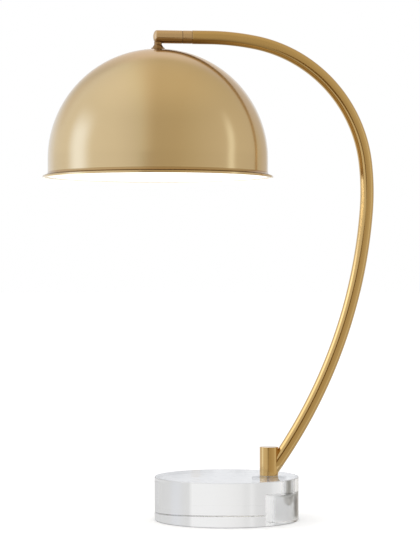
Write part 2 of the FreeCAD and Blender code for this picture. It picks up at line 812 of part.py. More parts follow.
def make_shade():
    """The spun dome with a straight skirt, a coved crease and a turned-down lip."""
    outer = S.shade_radius
    inner = SHADE_INNER
    hole = half(S.shade_hole_diameter)
    skirt = -S.shade_skirt_height
    cove_out = outer + S.lip_cove_radius
    ledge = skirt - S.lip_cove_radius
    corner = S.lip_corner_radius
    foot = ledge - S.lip_drop
    body = turned("shade", [
        (hole, root(outer * outer - hole * hole)),
        (outer, ZERO, outer, "right"),
        (outer, skirt),
        (cove_out, ledge, S.lip_cove_radius),
        (LIP_RADIUS - corner, ledge),
        (LIP_RADIUS, ledge - corner, corner, "right"),
        (LIP_RADIUS, foot),
        (LIP_RADIUS - S.shade_wall, foot),
        (LIP_RADIUS - S.shade_wall, ledge - corner),
        (LIP_RADIUS - corner, ledge - S.shade_wall, corner - S.shade_wall),
        (cove_out, ledge - S.shade_wall),
        (inner, skirt, S.lip_cove_radius + S.shade_wall, "right"),
        (inner, ZERO),
        (hole, root(inner * inner - hole * hole), inner),
    ])
    set_place(body, NECK_X, ZERO, SHADE_CENTRE)


def make_shade_fixing():
    """The washer and nut that clamp the shade against the bell from inside."""
    nipple = half(S.nipple_diameter)
    on_neck(ring("shade_washer", nipple + S.fit_clearance, half(S.shade_washer_diameter),
                 SHADE_NUT_TOP, WASHER_TOP))
    nut = hex_nut("shade_nut", S.shade_nut_flats, nipple, HOLDER_TOP, S.shade_nut_thickness)
    set_place(nut, NECK_X, ZERO, HOLDER_TOP)


def make_holder():
    """The lampholder: cap on the nipple, insulating body, screw shell and contacts."""
    wall = S.holder_wall
    outer = HOLDER_RADIUS
    nipple = half(S.nipple_diameter)
    shoulder = HOLDER_TOP - S.holder_cap_shoulder
    on_neck(turned("holder_cap", [
        (nipple, HOLDER_TOP),
        (nipple, HOLDER_TOP - S.holder_boss_height),
        (half(S.holder_boss_diameter), HOLDER_TOP - S.holder_boss_height),
        (outer - wall, shoulder - wall),
        (outer - wall, HOLDER_CAP_FOOT),
        (outer, HOLDER_CAP_FOOT),
        (outer, shoulder),
        (half(S.holder_boss_diameter), HOLDER_TOP),
    ]))
    thread = half(S.socket_thread_diameter)
    rim = outer + S.holder_lip_reach
    on_neck(turned("holder_body", [
        (nipple, HOLDER_CAP_FOOT),
        (nipple, HOLDER_FLOOR),
        (outer - S.holder_body_wall, HOLDER_FLOOR),
        (outer - S.holder_body_wall, HOLDER_FOOT + S.holder_lip_height),
        (thread + S.fit_clearance, HOLDER_FOOT + S.holder_lip_height),
        (thread + S.fit_clearance, HOLDER_FOOT),
        (rim, HOLDER_FOOT),
        (rim, HOLDER_FOOT + S.holder_lip_height),
        (outer, HOLDER_FOOT + S.holder_lip_height),
        (outer, HOLDER_CAP_FOOT),
    ]))
    on_neck(ring("screw_shell", thread - S.socket_thread_wall, thread, HOLDER_FOOT, HOLDER_FLOOR))


def make_contact():
    """The sprung tongue under the lampholder's floor that meets the bulb's tip."""
    tongue = doc.addObject("PartDesign::Body", "centre_contact")
    sketch = new_sketch(tongue, "centre_contact_outline", "XZ_Plane")
    reach = S.contact_length
    thick = S.contact_thickness
    draw(sketch, [
        (reach, HOLDER_FLOOR),
        (half(reach), HOLDER_FLOOR),
        (ZERO, CONTACT_TIP + thick),
        (-half(S.contact_width), CONTACT_TIP + thick),
        (-half(S.contact_width), CONTACT_TIP),
        (ZERO, CONTACT_TIP),
        (half(reach) + thick, HOLDER_FLOOR - thick),
        (reach, HOLDER_FLOOR - thick),
    ])
    pad = tongue.newObject("PartDesign::Pad", "centre_contact_pad")
    pad.Profile = sketch
    pad.Midplane = True
    bind(pad, "Length", S.contact_width)
    keep("centre_contact", tongue)
    on_neck(tongue)


def make_bulb():
    """A screw-cap lamp: cap, insulator with its contact, white body and frosted globe."""
    cap = half(S.bulb_cap_diameter)
    wall = S.bulb_cap_wall
    contact = half(S.bulb_contact_diameter)
    on_neck(ring("bulb_cap", cap - wall, cap, BULB_CAP_FOOT, BULB_CAP_TOP))
    on_neck(turned("bulb_insulator", [
        (ZERO, BULB_CAP_TOP - wall),
        (cap - wall, BULB_CAP_TOP - wall),
        (cap - wall, BULB_CAP_TOP),
        (contact, BULB_CAP_TOP + S.bulb_insulator_height),
        (ZERO, BULB_CAP_TOP + S.bulb_insulator_height),
    ]))
    on_neck(ring("bulb_contact", ZERO, contact, CONTACT_TIP - S.bulb_contact_height, CONTACT_TIP))
    neck = half(S.bulb_neck_diameter)
    shoulder = half(S.bulb_body_diameter)
    globe = half(S.bulb_globe_diameter)
    globe_centre = BULB_BODY_FOOT - root(globe * globe - shoulder * shoulder)
    on_neck(turned("bulb_body", [
        (ZERO, BULB_BODY_FOOT),
        (shoulder, BULB_BODY_FOOT),
        (neck, BULB_CAP_FOOT, S.bulb_body_height + globe),
        (cap - wall, BULB_CAP_FOOT),
        (cap - wall, BULB_CAP_FOOT + S.bulb_insulator_height),
        (ZERO, BULB_CAP_FOOT + S.bulb_insulator_height),
    ]))
    inside = globe - S.bulb_wall
    mouth = place("globe_mouth", globe_centre + root(inside * inside - (shoulder - S.bulb_wall)
                                                   * (shoulder - S.bulb_wall)))
    on_neck(turned("bulb_globe", [
        (shoulder - S.bulb_wall, BULB_BODY_FOOT),
        (shoulder - S.bulb_wall, mouth),
        (inside, globe_centre, inside, "right"),
        (ZERO, globe_centre - inside, inside, "right"),
        (ZERO, globe_centre - globe),
        (globe, globe_centre, globe),
        (shoulder, BULB_BODY_FOOT, globe),
    ]))


def make_head_lead():
    """The lead through the spindle and barrel, down the nipple to the lampholder's floor."""
    bend = S.lead_elbow_radius
    points = [
        (ARM_END + SPINDLE_START, AXIS_HEIGHT),
        (NECK_X + bend, AXIS_HEIGHT),
        (NECK_X, AXIS_HEIGHT - bend, bend),
        (NECK_X, HOLDER_CAP_FOOT),
    ]
    spine = plane_path("head_lead_route", points)
    lead = sweep("head_lead_bar", spine, half(S.lead_diameter), points[0], TO_HEAD)
    keep("head_lead", lead)


def check_and_write():
    """Stop on any failed object or bad shape, then write every sub-part."""
    doc.recompute()
    for thing in doc.Objects:
        if "Invalid" in thing.State or "Error" in thing.State:
            raise RuntimeError("%s failed: %s" % (thing.Name, thing.State))
    for label, thing in parts.items():
        if thing.Shape.isNull() or not thing.Shape.isValid() or not thing.Shape.Solids:
            raise RuntimeError("%s has no valid solid" % label)
    os.makedirs("parts", exist_ok=True)
    for label, thing in parts.items():
        thing.Shape.exportStep("parts/%s.step" % label)
        box = thing.Shape.BoundBox
        corners = (box.XMin, box.XMax, box.YMin, box.YMax, box.ZMin, box.ZMax)
        print("%-15s %d solids %9.1f mm3  " % (label, len(thing.Shape.Solids), thing.Shape.Volume)
              + " ".join("%.1f" % corner for corner in corners))


make_base()
make_post()
make_clamp()
make_grommet()
make_arm()
make_arm_lead()
make_collar()
make_stop_pin()
make_friction_disc()
make_spindle()
make_head_bush()
make_barrel()
make_neck()
make_shade()
make_shade_fixing()
make_holder()
make_contact()
make_bulb()
make_head_lead()
check_and_write()
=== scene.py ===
import math

import bmesh
import bpy
from mathutils import Matrix, Vector


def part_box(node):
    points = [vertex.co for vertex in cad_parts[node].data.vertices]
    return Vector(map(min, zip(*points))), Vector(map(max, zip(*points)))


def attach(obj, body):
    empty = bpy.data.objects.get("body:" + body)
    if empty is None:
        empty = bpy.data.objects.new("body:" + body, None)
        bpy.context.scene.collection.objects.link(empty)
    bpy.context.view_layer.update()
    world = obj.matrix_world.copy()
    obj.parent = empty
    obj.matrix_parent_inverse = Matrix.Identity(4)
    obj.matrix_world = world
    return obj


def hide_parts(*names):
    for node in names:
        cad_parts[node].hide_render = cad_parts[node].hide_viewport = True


# A table lamp: a spun brass dome on a swivelling head, a bent brass arm, a short post
# and a clear glass disc. +Z is up, +X runs from the disc's centre to the post, and the
# shade hangs on -X. Lengths here are in millimetres and angles in degrees.
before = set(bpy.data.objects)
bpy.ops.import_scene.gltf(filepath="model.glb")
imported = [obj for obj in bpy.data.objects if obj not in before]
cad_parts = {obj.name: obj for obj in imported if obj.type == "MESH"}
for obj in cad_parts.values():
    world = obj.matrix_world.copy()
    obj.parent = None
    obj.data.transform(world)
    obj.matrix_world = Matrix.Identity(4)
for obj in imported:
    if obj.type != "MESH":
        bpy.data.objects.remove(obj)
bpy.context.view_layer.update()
MM = 0.001

# The photograph: its frame, and where its camera stood
PHOTO_WIDTH = 420
PHOTO_HEIGHT = 560
SENSOR_HEIGHT = 36.0
FOCAL_PIXELS = 1965.0
CAMERA_TURN = 7.0
CAMERA_DISTANCE = 2318.7
CAMERA_HEIGHT = 282.3
BASE_PIXEL = 226.6

# How finely round forms are drawn
ROUND_STEPS = 192
SMALL_ROUND_STEPS = 64
HEX_STEPS = 6
THREAD_STEPS = 48
THREAD_ROWS = 8
ARC_STEP_ANGLE = 3.0
SHARP_ANGLE = 35.0
MERGE_DISTANCE = 0.002

# Glass disc
BASE_DIAMETER = 170.0
BASE_THICKNESS = 51.0
BASE_BEVEL = 0.8
STUD_BORE_DIAMETER = 14.0
WELL_DIAMETER = 40.0
WELL_DEPTH = 31.0
WELL_EDGE = 0.5

# Post and clamp
POST_OFFSET = 50.5
POST_DIAMETER = 22.0
POST_HEIGHT = 34.0
POST_BEVEL = 0.5
GASKET_PROUD = 0.2
GASKET_DIAMETER = 18.0
GASKET_THICKNESS = 1.0
STUD_DIAMETER = 8.0
STUD_PITCH = 1.25
THREAD_DEPTH_SHARE = 0.55
NUT_FACE_INSET = 0.3
NUT_CONE_REACH = 0.1
NUT_CONE_DROP = 0.2
NUT_CHAMFER_ANGLE = 30.0
RING_CLEARANCE = 0.3
RING_WIRE_SHARE = 0.75
RING_GAP_ANGLE = 14.0
LEADWAY_RISE = 20.0
GROMMET_SEAT_DEPTH = 1.5
GROMMET_DIAMETER = 9.0
GROMMET_FLANGE_DIAMETER = 11.0
GROMMET_BORE_DIAMETER = 6.2
GROMMET_LENGTH = 5.0
GROMMET_FLANGE_THICKNESS = 1.4
GROMMET_ROUND = 0.6

# Bent arm, as arcs from its foot to its level end: radius and angle of each
ARM_END_HEADING = 180.0
ARM_DIAMETER = 16.0
ARM_WALL = 1.2
ARM_FOOT_RISE = 1.1
ARM_FOOT_RUN = 30.0
ARM_ARCS = ((598.0, 29.5), (292.5, 11.2), (163.3, 72.7), (300.0, 10.6))
ARM_LEAD_RUN = 20.3
ARM_STEP = 3.0
ARM_END_ROUND = 0.25
COPE_GAP = 0.02

# Swivel and head
HEAD_DIAMETER = 15.4
SPINDLE_DIAMETER = 8.0
SPINDLE_GAP = 0.06
FIT_GAP = 0.05
COLLAR_LENGTH = 11.4
SEAM_WIDTH = 0.5
SEAM_BEVEL = 0.12
SPIGOT_LENGTH = 13.0
COLLAR_GROOVE_DEPTH = 0.6
COLLAR_GROOVE_WIDTH = 0.7
BARREL_LENGTH = 29.6
BARREL_BORE_DIAMETER = 12.8
BARREL_BORE_DEPTH = 16.0
DOME_DEPTH = 4.6
DOME_EDGE_RADIUS = 3.2
NECK_OFFSET = 28.8
NECK_SEAT_RISE = 1.7
NECK_DIAMETER = 9.2
BELL_WAIST_DIAMETER = 13.2
BELL_FLANK_RADIUS = 8.9
BELL_HEIGHT = 3.4
BELL_RIM_DIAMETER = 16.0
BELL_RIM_HEIGHT = 1.8
BELL_RIM_ROUND = 0.6
NIPPLE_DIAMETER = 8.0
NIPPLE_BORE_DIAMETER = 5.6
NIPPLE_PITCH = 1.0

# Spun shade
SHADE_DROP = 14.8
SHADE_RADIUS = 129.3
SHADE_WALL = 0.8
SHADE_SKIRT = 15.7
LIP_COVE_RADIUS = 3.4
LIP_CORNER_RADIUS = 1.6
LIP_LEDGE = 1.0
LIP_DROP = 3.5
LIP_BEAD_RADIUS = 0.7
LIP_GROOVE_HEIGHT = 0.6
LIP_GROOVE_DEPTH = 1.2
SHADE_HOLE_DIAMETER = 8.4

# Screw shells of the lampholder and the bulb: the round thread and the plain ends
EDISON_PITCH = 3.629
EDISON_DEPTH = 1.1
EDISON_ROWS = 10
SOCKET_WALL = 0.4
BULB_CAP_WALL = 0.5
SHELL_PLAIN_FOOT = 3.0
SHELL_PLAIN_TOP = 1.0

# The studio's tones by one part of a direction, from -1 to 1. Sideways, from left to right as
# the camera sees it: the walls that the brass mirrors, the paper behind the lamp at its foot
# and higher up, and what shows through the glass. By rise, from the floor to the ceiling: what
# the tones of the walls are multiplied by.
WALL_TONES = (
    (-1.0, "FCFCF9"), (-0.66, "F7F6F1"), (-0.45, "EFEDE7"), (-0.28, "E7E5DA"), (-0.2, "E1DBCB"),
    (-0.1, "D6CBB5"), (0.0, "CEC2A8"), (0.35, "D1C5AA"), (0.6, "D8CEB6"), (0.9, "E2DAC8"),
    (1.0, "E5DECE"),
)
PAPER_TONES = ((0.25, "F0F2F6"), (0.4, "D3C9BC"))
UPPER_PAPER_TONES = (
    (-0.55, "E2DACD"), (-0.38, "D4CDC2"), (-0.12, "E8D9CC"), (0.12, "E8D9CC"), (0.35, "D3C9C3"),
)
THROUGH_TONES = (
    (-1.0, "F9F9F9"), (-0.6, "F3F3F3"), (-0.42, "DDDDDD"), (-0.35, "DADADA"), (-0.3, "DBDBDB"),
    (-0.265, "DEDEDE"), (-0.24, "E5E5E5"), (-0.22, "EAEAEA"), (-0.19, "E3E3E3"), (-0.16, "E3E3E3"),
    (-0.12, "E9E9E9"), (-0.065, "ECECEC"), (0.0, "EFEFEF"), (0.12, "F0F0F0"), (0.335, "F0F0F0"),
    (0.375, "DADADA"), (0.65, "D8D8D8"), (0.87, "D4D4D4"), (0.92, "CDCDCD"), (1.0, "BCBCBC"),
)
RISE_TONES = (
    (-1.0, "9C9C9C"), (-0.84, "CECECE"), (-0.5, "EDEDED"), (-0.1, "F3F3F3"), (0.02, "F6F6F6"),
    (0.06, "F0F0F0"), (0.11, "F7F7F7"), (0.56, "F7F7F7"), (0.85, "F9F9F9"), (1.0, "FFFFFF"),
)

# Where those zones of a direction start and where they are full, and the brighter ceiling
PAPER_AHEAD = (0.66, 0.8)
PAPER_RISE = (-0.3, 0.0)
UPPER_PAPER_AHEAD = (0.5, 0.72)
UPPER_PAPER_RISE = (0.12, 0.45)
CEILING_RISE = (0.6, 1.0)
CEILING_GAIN = 1.15

# The dark camera stand, in front of the lamp
STAND_TONE = "7A6340"
STAND_AHEAD = (-0.6, -0.8)
STAND_TOP = (0.07, 0.03)
STAND_FOOT = (-0.13, -0.02)
STAND_MIDDLE = -0.18
STAND_HALF_WIDTH = 0.11
STAND_SOFTNESS = 0.05

# A tall bright strip on each side: its side, how far it leans, its middle at eye level, its half
# width, its tone and how bright it is
STRIPS = ((-1, 0.12, -0.02, 0.19, "D6E2FA", 1.8), (1, 0.25, -0.14, 0.065, "E0E2DE", 1.44))
STRIP_RISE = (0.66, 0.3)
STRIP_SIDEWAYS = 0.3
STRIP_SOFT_SHARE = 0.8

# Softboxes: where each stands, where it aims, its width and height, and its power in watts
LIGHT_TONE = "FFFBF4"
SHADE_AIM = (-80.0, 0.0, 420.0)
LEFT_LIGHT_PLACE = (-1760.0, 290.0, 750.0)
LEFT_LIGHT_SIZE = (420.0, 1500.0)
LEFT_LIGHT_POWER = 3.4
RIGHT_LIGHT_PLACE = (1510.0, -200.0, 450.0)
RIGHT_LIGHT_SIZE = (120.0, 1200.0)
RIGHT_LIGHT_POWER = 1.0

# A small softbox beside the arm, which the brass mirrors, and a brown card in front of the arm,
# both below the shade: the card's corners are given by how far right and how high they are
ARM_LIGHT_PLACE = (-250.0, 30.0, 315.0)
ARM_LIGHT_AIM = (150.0, -20.0, 315.0)
ARM_LIGHT_SIZE = (300.0, 170.0)
ARM_LIGHT_POWER = 0.14
ARM_LIGHT_TONE = "F8F6F4"
CARD_AHEAD = -580.0
CARD_CORNERS = ((-215.0, 100.0), (60.0, 100.0), (110.0, 400.0), (-40.0, 400.0), (-125.0, 300.0))

# The lit bulb's light on the inside of the shade
GLOW_DROP = 27.0
GLOW_SIZE = (200.0, 200.0)
GLOW_POWER = 0.13
GLOW_TONE = "FFFDF2"

# White paper floor, and how far the camera sees
WHITE = "FFFFFF"
PAPER_WHITE = "F4F4F4"
FLOOR_REACH = 40000.0
FLOOR_DROP = 0.2
FLOOR_GLOW = 0.2
CAMERA_REACH = 100000.0

# Surfaces: brush lines, lacquer, and the size and depth of each grain
BRUSH_STRETCH = (0.02, 1.0, 1.0)
BRUSH_LINE_WIDTH = 0.5
FINE_LINE_WIDTH = 0.4
BRUSH_ANISOTROPY = 0.3
LACQUER_SHARE = 0.3
LACQUER_ROUGHNESS = 0.08
LACQUER_IOR = 1.5
CUTTER_MARK_DEPTH = 0.03
TURNED_GRAIN = 0.6
PLATED_GRAIN = 0.8
ROLLED_GRAIN = 0.9
GRAIN_DEPTH = 0.05
RUBBER_GRAIN = 0.4
SILICONE_GRAIN = 0.5
FIBRE_GRAIN = 0.3
PHENOLIC_GRAIN = 0.6
SHEATH_GRAIN = 0.4
BULB_GRAIN = 0.5
BEAD_GRAIN = 0.8
ENAMEL_GRAIN = 0.7
FELT_GRAIN = 1.0
PAPER_GRAIN = 2.0
GLASS_IOR = 1.5
GLASS_SEED_SPACING = 25.0
FROST_GRAIN = 1.111
FROST_DEPTH = 0.02

# Painted shade, darker brass on the sides that face the shade: by how far a face is turned
# down, and along the arm
SHADED_UNDERSIDE_FROM = -0.15
SHADED_UNDERSIDE_FULLY = -0.6
SHADED_UNDERSIDE_ARM_START = -35.0
SHADED_UNDERSIDE_ARM_END = 50.0
UNDERSIDE_SHADE_TONE = "B5AEA8"


# Helpers

def linear(code):
    """An sRGB hex colour as linear numbers, and full opacity."""
    shares = []
    for start in (0, 2, 4):
        share = int(code[start:start + 2], 16) / 255
        shares.append(share / 12.92 if share <= 0.04045 else ((share + 0.055) / 1.055) ** 2.4)
    return (*shares, 1.0)


def box_corners(node):
    """The lowest and the highest corner of a CAD node's box."""
    low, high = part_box(node)
    return low / MM, high / MM


def round_point(radius, angle, height):
    turn = math.radians(angle)
    return Vector((radius * math.cos(turn), radius * math.sin(turn), height)) * MM


def level_ring(radius, height, steps):
    """Points round the Z axis at one height."""
    return [round_point(radius, 360 * step / steps, height) for step in range(steps)]


def with_arcs(outline):
    """Points of an outline. A point with a radius is reached by an arc that turns left, or
    right if it says so: (x, z), (x, z, radius) or (x, z, radius, "right")."""
    points = [outline[0][:2]]
    for start, end in zip(outline, outline[1:]):
        if len(end) > 2:
            first = Vector(start[:2])
            last = Vector(end[:2])
            chord = last - first
            radius = end[2]
            side = -1 if len(end) == 4 else 1
            height = math.sqrt(max(radius ** 2 - (chord.length / 2) ** 2, 0.0))
            across = Vector((-chord.y, chord.x)).normalized() * side
            centre = (first + last) / 2 + across * height
            begin = math.atan2(first.y - centre.y, first.x - centre.x)
            turn = 2 * math.asin(min(chord.length / 2 / radius, 1.0)) * side
            steps = max(2, math.ceil(abs(math.degrees(turn)) / ARC_STEP_ANGLE))
            for step in range(1, steps):
                angle = begin + turn * step / steps
                x = centre.x + radius * math.cos(angle)
                points.append((x, centre.y + radius * math.sin(angle)))
        points.append(end[:2])
    return points


def skin(rings, closed_along=False):
    """A mesh through rings of points, each ring closed on itself, and its rows of corners."""
    form = bmesh.new()
    rows = [[form.verts.new(point) for point in ring] for ring in rings]
    pairs = list(zip(rows, rows[1:]))
    if closed_along:
        pairs.append((rows[-1], rows[0]))
    for row, following in pairs:
        for step in range(len(row)):
            after = (step + 1) % len(row)
            form.faces.new((row[step], row[after], following[after], following[step]))
    bmesh.ops.remove_doubles(form, verts=form.verts, dist=MERGE_DISTANCE * MM)
    return form, rows


def settle(form, name, materials):
    """Turn a form into an object with outward faces, smooth where its faces meet gently."""
    bmesh.ops.recalc_face_normals(form, faces=form.faces)
    mesh = bpy.data.meshes.new(name)
    form.to_mesh(mesh)
    form.free()
    for polygon in mesh.polygons:
        polygon.use_smooth = True
    mesh.set_sharp_from_angle(angle=math.radians(SHARP_ANGLE))
    piece = bpy.data.objects.new(name, mesh)
    bpy.context.scene.collection.objects.link(piece)
    for material in materials:
        mesh.materials.append(material)
    return piece


def turned(name, outline, *materials, steps=ROUND_STEPS, choose=None):
    """A piece turned about its own Z axis from a closed outline of (radius, height)."""
    rings = [level_ring(radius, height, steps) for radius, height in with_arcs(outline)]
    form = skin(rings, closed_along=True)[0]
    if choose:
        for face in form.faces:
            face.material_index = choose(face.calc_center_median() / MM)
    return settle(form, name, materials)


def rod(name, radius, low, high, material, steps=ROUND_STEPS):
    """A plain round bar, which also serves to bore a hole."""
    return turned(name, [
        (0.0, low),
        (radius, low),
        (radius, high),
        (0.0, high),
    ], material, steps=steps)


def carve(piece, tool, operation="DIFFERENCE"):
    """Cut one piece with another, which is then thrown away."""
    cutter = piece.modifiers.new("cut", "BOOLEAN")
    cutter.operation = operation
    cutter.solver = "EXACT"
    cutter.object = tool
    graph = bpy.context.evaluated_depsgraph_get()
    mesh = bpy.data.meshes.new_from_object(piece.evaluated_get(graph))
    piece.modifiers.remove(cutter)
    old = piece.data
    piece.data = mesh
    bpy.data.meshes.remove(old)
    bpy.data.objects.remove(tool)
    mesh.set_sharp_from_angle(angle=math.radians(SHARP_ANGLE))
    return piece


def put(piece, x=0.0, y=0.0, z=0.0, turn=Matrix()):
    """Set a piece down at its place in the frame, turned if need be."""
    piece.matrix_world = Matrix.Translation(Vector((x, y, z)) * MM) @ turn
    bpy.context.view_layer.update()


def done(piece, body, slot, *nodes):
    """Hand a finished piece to its body and hide the CAD node that it stands for; its finish
    (slot) is not used.
    """
    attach(piece, body)
    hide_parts(*nodes)


# Materials

def new_material(name):
    """A material with an empty tree, and that tree."""
    material = bpy.data.materials.new(name)
    material.use_nodes = True
    material.node_tree.nodes.clear()
    return material, material.node_tree


def add(tree, kind, feeds=None, **settings):
    """Add a node with its settings; feeds gives a socket a value or the socket that feeds it."""
    node = tree.nodes.new(kind)
    for setting, value in settings.items():
        setattr(node, setting, value)
    for socket, value in (feeds or {}).items():
        if isinstance(value, bpy.types.NodeSocket):
            tree.links.new(value, node.inputs[socket])
        else:
            node.inputs[socket].default_value = value
    return node


def shaded(material, tree, feeds):
    """Give a material its shader."""
    shader = add(tree, "ShaderNodeBsdfPrincipled", feeds)
    add(tree, "ShaderNodeOutputMaterial", {"Surface": shader.outputs[0]})
    return material


def on_object(tree):
    return add(tree, "ShaderNodeTexCoord").outputs["Object"]


def noise(tree, place, grain, detail):
    """Noise whose grain is given in millimetres."""
    feeds = {"Vector": place, "Scale": 1 / (grain * MM), "Detail": detail}
    return add(tree, "ShaderNodeTexNoise", feeds).outputs[0]


def bumped(tree, height, strength, depth):
    """A surface normal that follows a noise, up to a depth in millimetres."""
    feeds = {"Height": height, "Strength": strength, "Distance": depth * MM}
    return add(tree, "ShaderNodeBump", feeds).outputs[0]


def varied(tree, share, value, spread, low=0.0, high=1.0):
    """A value that swings by a share of itself while another goes from low to high."""
    return add(tree, "ShaderNodeMapRange", {
        "Value": share, "From Min": low, "From Max": high,
        "To Min": value * (1 - spread), "To Max": min(value * (1 + spread), 1.0),
    }).outputs[0]


def fade(tree, place, start, end):
    """0 at the start and 1 at the end."""
    return add(tree, "ShaderNodeMapRange", {"Value": place, "From Min": start, "From Max": end},
               interpolation_type="SMOOTHSTEP").outputs[0]


def times(tree, first, second):
    return add(tree, "ShaderNodeMath", {0: first, 1: second}, operation="MULTIPLY").outputs[0]


def mixed(tree, share, first, second, way="MIX"):
    return add(tree, "ShaderNodeMixRGB", {"Fac": share, "Color1": first, "Color2": second},
               blend_type=way).outputs[0]


def painted_underside_shade(tree, tone, above, reaches_out=False):
    """Painted shade: brass darkened on the side that faces the shade. Above is the piece's own
    axis that points away from the shade; on the arm the darkening dies out."""
    place = add(tree, "ShaderNodeTexCoord")
    facing = add(tree, "ShaderNodeSeparateXYZ", {0: place.outputs["Normal"]}).outputs[above]
    share = fade(tree, facing, SHADED_UNDERSIDE_FROM, SHADED_UNDERSIDE_FULLY)
    if reaches_out:
        along = add(tree, "ShaderNodeSeparateXYZ", {0: place.outputs["Object"]}).outputs["X"]
        share = times(tree, share, fade(tree, along, SHADED_UNDERSIDE_ARM_END * MM, SHADED_UNDERSIDE_ARM_START * MM))
    return mixed(tree, share, tone, linear(UNDERSIDE_SHADE_TONE), "MULTIPLY")


def brush_marks(tree, along_map):
    """Where a brush mark runs, and its way: along the tube's map, or round the lathe's axis."""
    if along_map:
        place = add(tree, "ShaderNodeTexCoord").outputs["UV"]
        lines = add(tree, "ShaderNodeMapping", {"Vector": place, "Scale": BRUSH_STRETCH})
        way = add(tree, "ShaderNodeTangent", direction_type="UV_MAP")
    else:
        axes = add(tree, "ShaderNodeSeparateXYZ", {0: on_object(tree)}).outputs
        level = add(tree, "ShaderNodeCombineXYZ", {"X": axes["X"], "Y": axes["Y"]})
        reach = add(tree, "ShaderNodeVectorMath", {0: level.outputs[0]}, operation="LENGTH")
        feeds = {"X": reach.outputs["Value"], "Y": axes["Z"]}
        lines = add(tree, "ShaderNodeCombineXYZ", feeds)
        way = add(tree, "ShaderNodeTangent", direction_type="RADIAL", axis="Z")
    return lines.outputs[0], way.outputs[0]


def brushed_brass(name, gold, shadow, roughness, line_width, along_map=False, shaded_below=None):
    """Lacquered satin brass: fine brush lines along the tube, or round and round the lathe's
    axis, break a reflection across them; the lacquer adds a clear, cool gloss on top."""
    material, tree = new_material(name)
    lines, way = brush_marks(tree, along_map)
    fine = noise(tree, lines, line_width, detail=2.0)
    tone = mixed(tree, fine, linear(shadow), linear(gold))
    # Painted shade: the side that faces the shade is darkened.
    if shaded_below:
        tone = painted_underside_shade(tree, tone, shaded_below, along_map)
    return shaded(material, tree, {
        "Base Color": tone, "Metallic": 1.0,
        "Roughness": varied(tree, fine, roughness, spread=0.1, low=0.3, high=0.7),
        "Anisotropic": BRUSH_ANISOTROPY, "Tangent": way,
        "Coat Weight": LACQUER_SHARE, "Coat Roughness": LACQUER_ROUGHNESS, "Coat IOR": LACQUER_IOR,
    })


def plain_metal(name, colour, roughness, grain):
    """Turned or rolled metal as it left the machine or the plating bath: a soft even gloss
    with faint cutter marks and slightly duller patches."""
    material, tree = new_material(name)
    marks = noise(tree, on_object(tree), grain, detail=4.0)
    return shaded(material, tree, {
        "Base Color": linear(colour), "Metallic": 1.0,
        "Roughness": varied(tree, marks, roughness, spread=0.3),
        "Normal": bumped(tree, marks, strength=0.08, depth=CUTTER_MARK_DEPTH),
    })


def moulded(name, colour, roughness, grain, index=1.5):
    """Rubber, plastic, fibre, enamel, felt or black glass: an even colour, a fine grain and a
    soft sheen."""
    material, tree = new_material(name)
    speck = noise(tree, on_object(tree), grain, detail=3.0)
    return shaded(material, tree, {
        "Base Color": linear(colour), "IOR": index,
        "Roughness": varied(tree, speck, roughness, spread=0.2),
        "Normal": bumped(tree, speck, strength=0.15, depth=GRAIN_DEPTH),
    })


def clear_glass(name, colour, roughness, clear_share=1.0):
    """Crown glass: polished it is clear without haze, and where it was ground and left dull,
    its roughness blurs what shows through it and only a share of it is clear."""
    material, tree = new_material(name)
    seeds = noise(tree, on_object(tree), GLASS_SEED_SPACING, detail=1.0)
    return shaded(material, tree, {
        "Base Color": linear(colour), "IOR": GLASS_IOR, "Transmission Weight": clear_share,
        "Roughness": varied(tree, seeds, roughness, spread=0.1),
    })


def lit_frost(name, colour, strength):
    """Frosted bulb glass with the lamp on: it glows evenly under a satin surface."""
    material, tree = new_material(name)
    grain = noise(tree, on_object(tree), FROST_GRAIN, detail=2.0)
    return shaded(material, tree, {
        "Base Color": linear("FFF6E6"), "Roughness": 0.45, "IOR": GLASS_IOR,
        "Normal": bumped(tree, grain, strength=0.1, depth=FROST_DEPTH),
        "Emission Color": linear(colour), "Emission Strength": strength,
    })


# Spun brass, satin brushed round and round on the lathe: its highlights run down the dome.
SHADE_BRASS = brushed_brass("spun_satin_brass", "DDC59B", "D9C196", 0.15, BRUSH_LINE_WIDTH)
# The same, deeper in tone in the crease above the lip: painted shade.
SHADED_CREASE_BRASS = brushed_brass("crease_shade_brass", "BFA173", "BB9D6F", 0.18, BRUSH_LINE_WIDTH)
# Drawn brass tube, brushed along its length and toned a little darker.
# Its underside near the head gets painted shade.
ARM_BRASS = brushed_brass("drawn_satin_brass", "D5B47A", "CFAD72", 0.1, BRUSH_LINE_WIDTH,
                          along_map=True, shaded_below="Z")
# Turned brass bar for the post, polished with fine cloth on the lathe.
BAR_BRASS = brushed_brass("turned_satin_brass", "D5B276", "CFAB6E", 0.12, FINE_LINE_WIDTH)
# The swivel head is turned from the same bar, but it has a paler lacquer.
# Its underside gets painted shade.
HEAD_BRASS = brushed_brass("pale_turned_brass", "DABC96", "D5B690", 0.13, FINE_LINE_WIDTH,
                           shaded_below="X")
# The small neck turning, and the groove between arm and collar, are darker brass: painted
# shade between the parts.
SHADED_NECK_BRASS = brushed_brass("shaded_neck_brass", "9A784E", "8A6942", 0.1, FINE_LINE_WIDTH)
# Brass without lacquer, yellow and softly bright, on pieces inside.
BARE_BRASS = plain_metal("bare_turned_brass", "D9B469", 0.25, TURNED_GRAIN)
# Zinc gives the steel of the swivel and the nipple a cool, even grey.
ZINC_STEEL = plain_metal("bright_zinc_plated_steel", "C3C6C9", 0.28, PLATED_GRAIN)
# Satin nickel makes the clamp in the glass look pale.
NICKEL_STEEL = plain_metal("satin_nickel_plated_steel", "EDEBE7", 0.35, PLATED_GRAIN)
# The bulb's thin rolled shell has a harder gloss.
NICKEL_SHELL = plain_metal("nickel_plated_rolled_shell", "CFCBC4", 0.22, ROLLED_GRAIN)
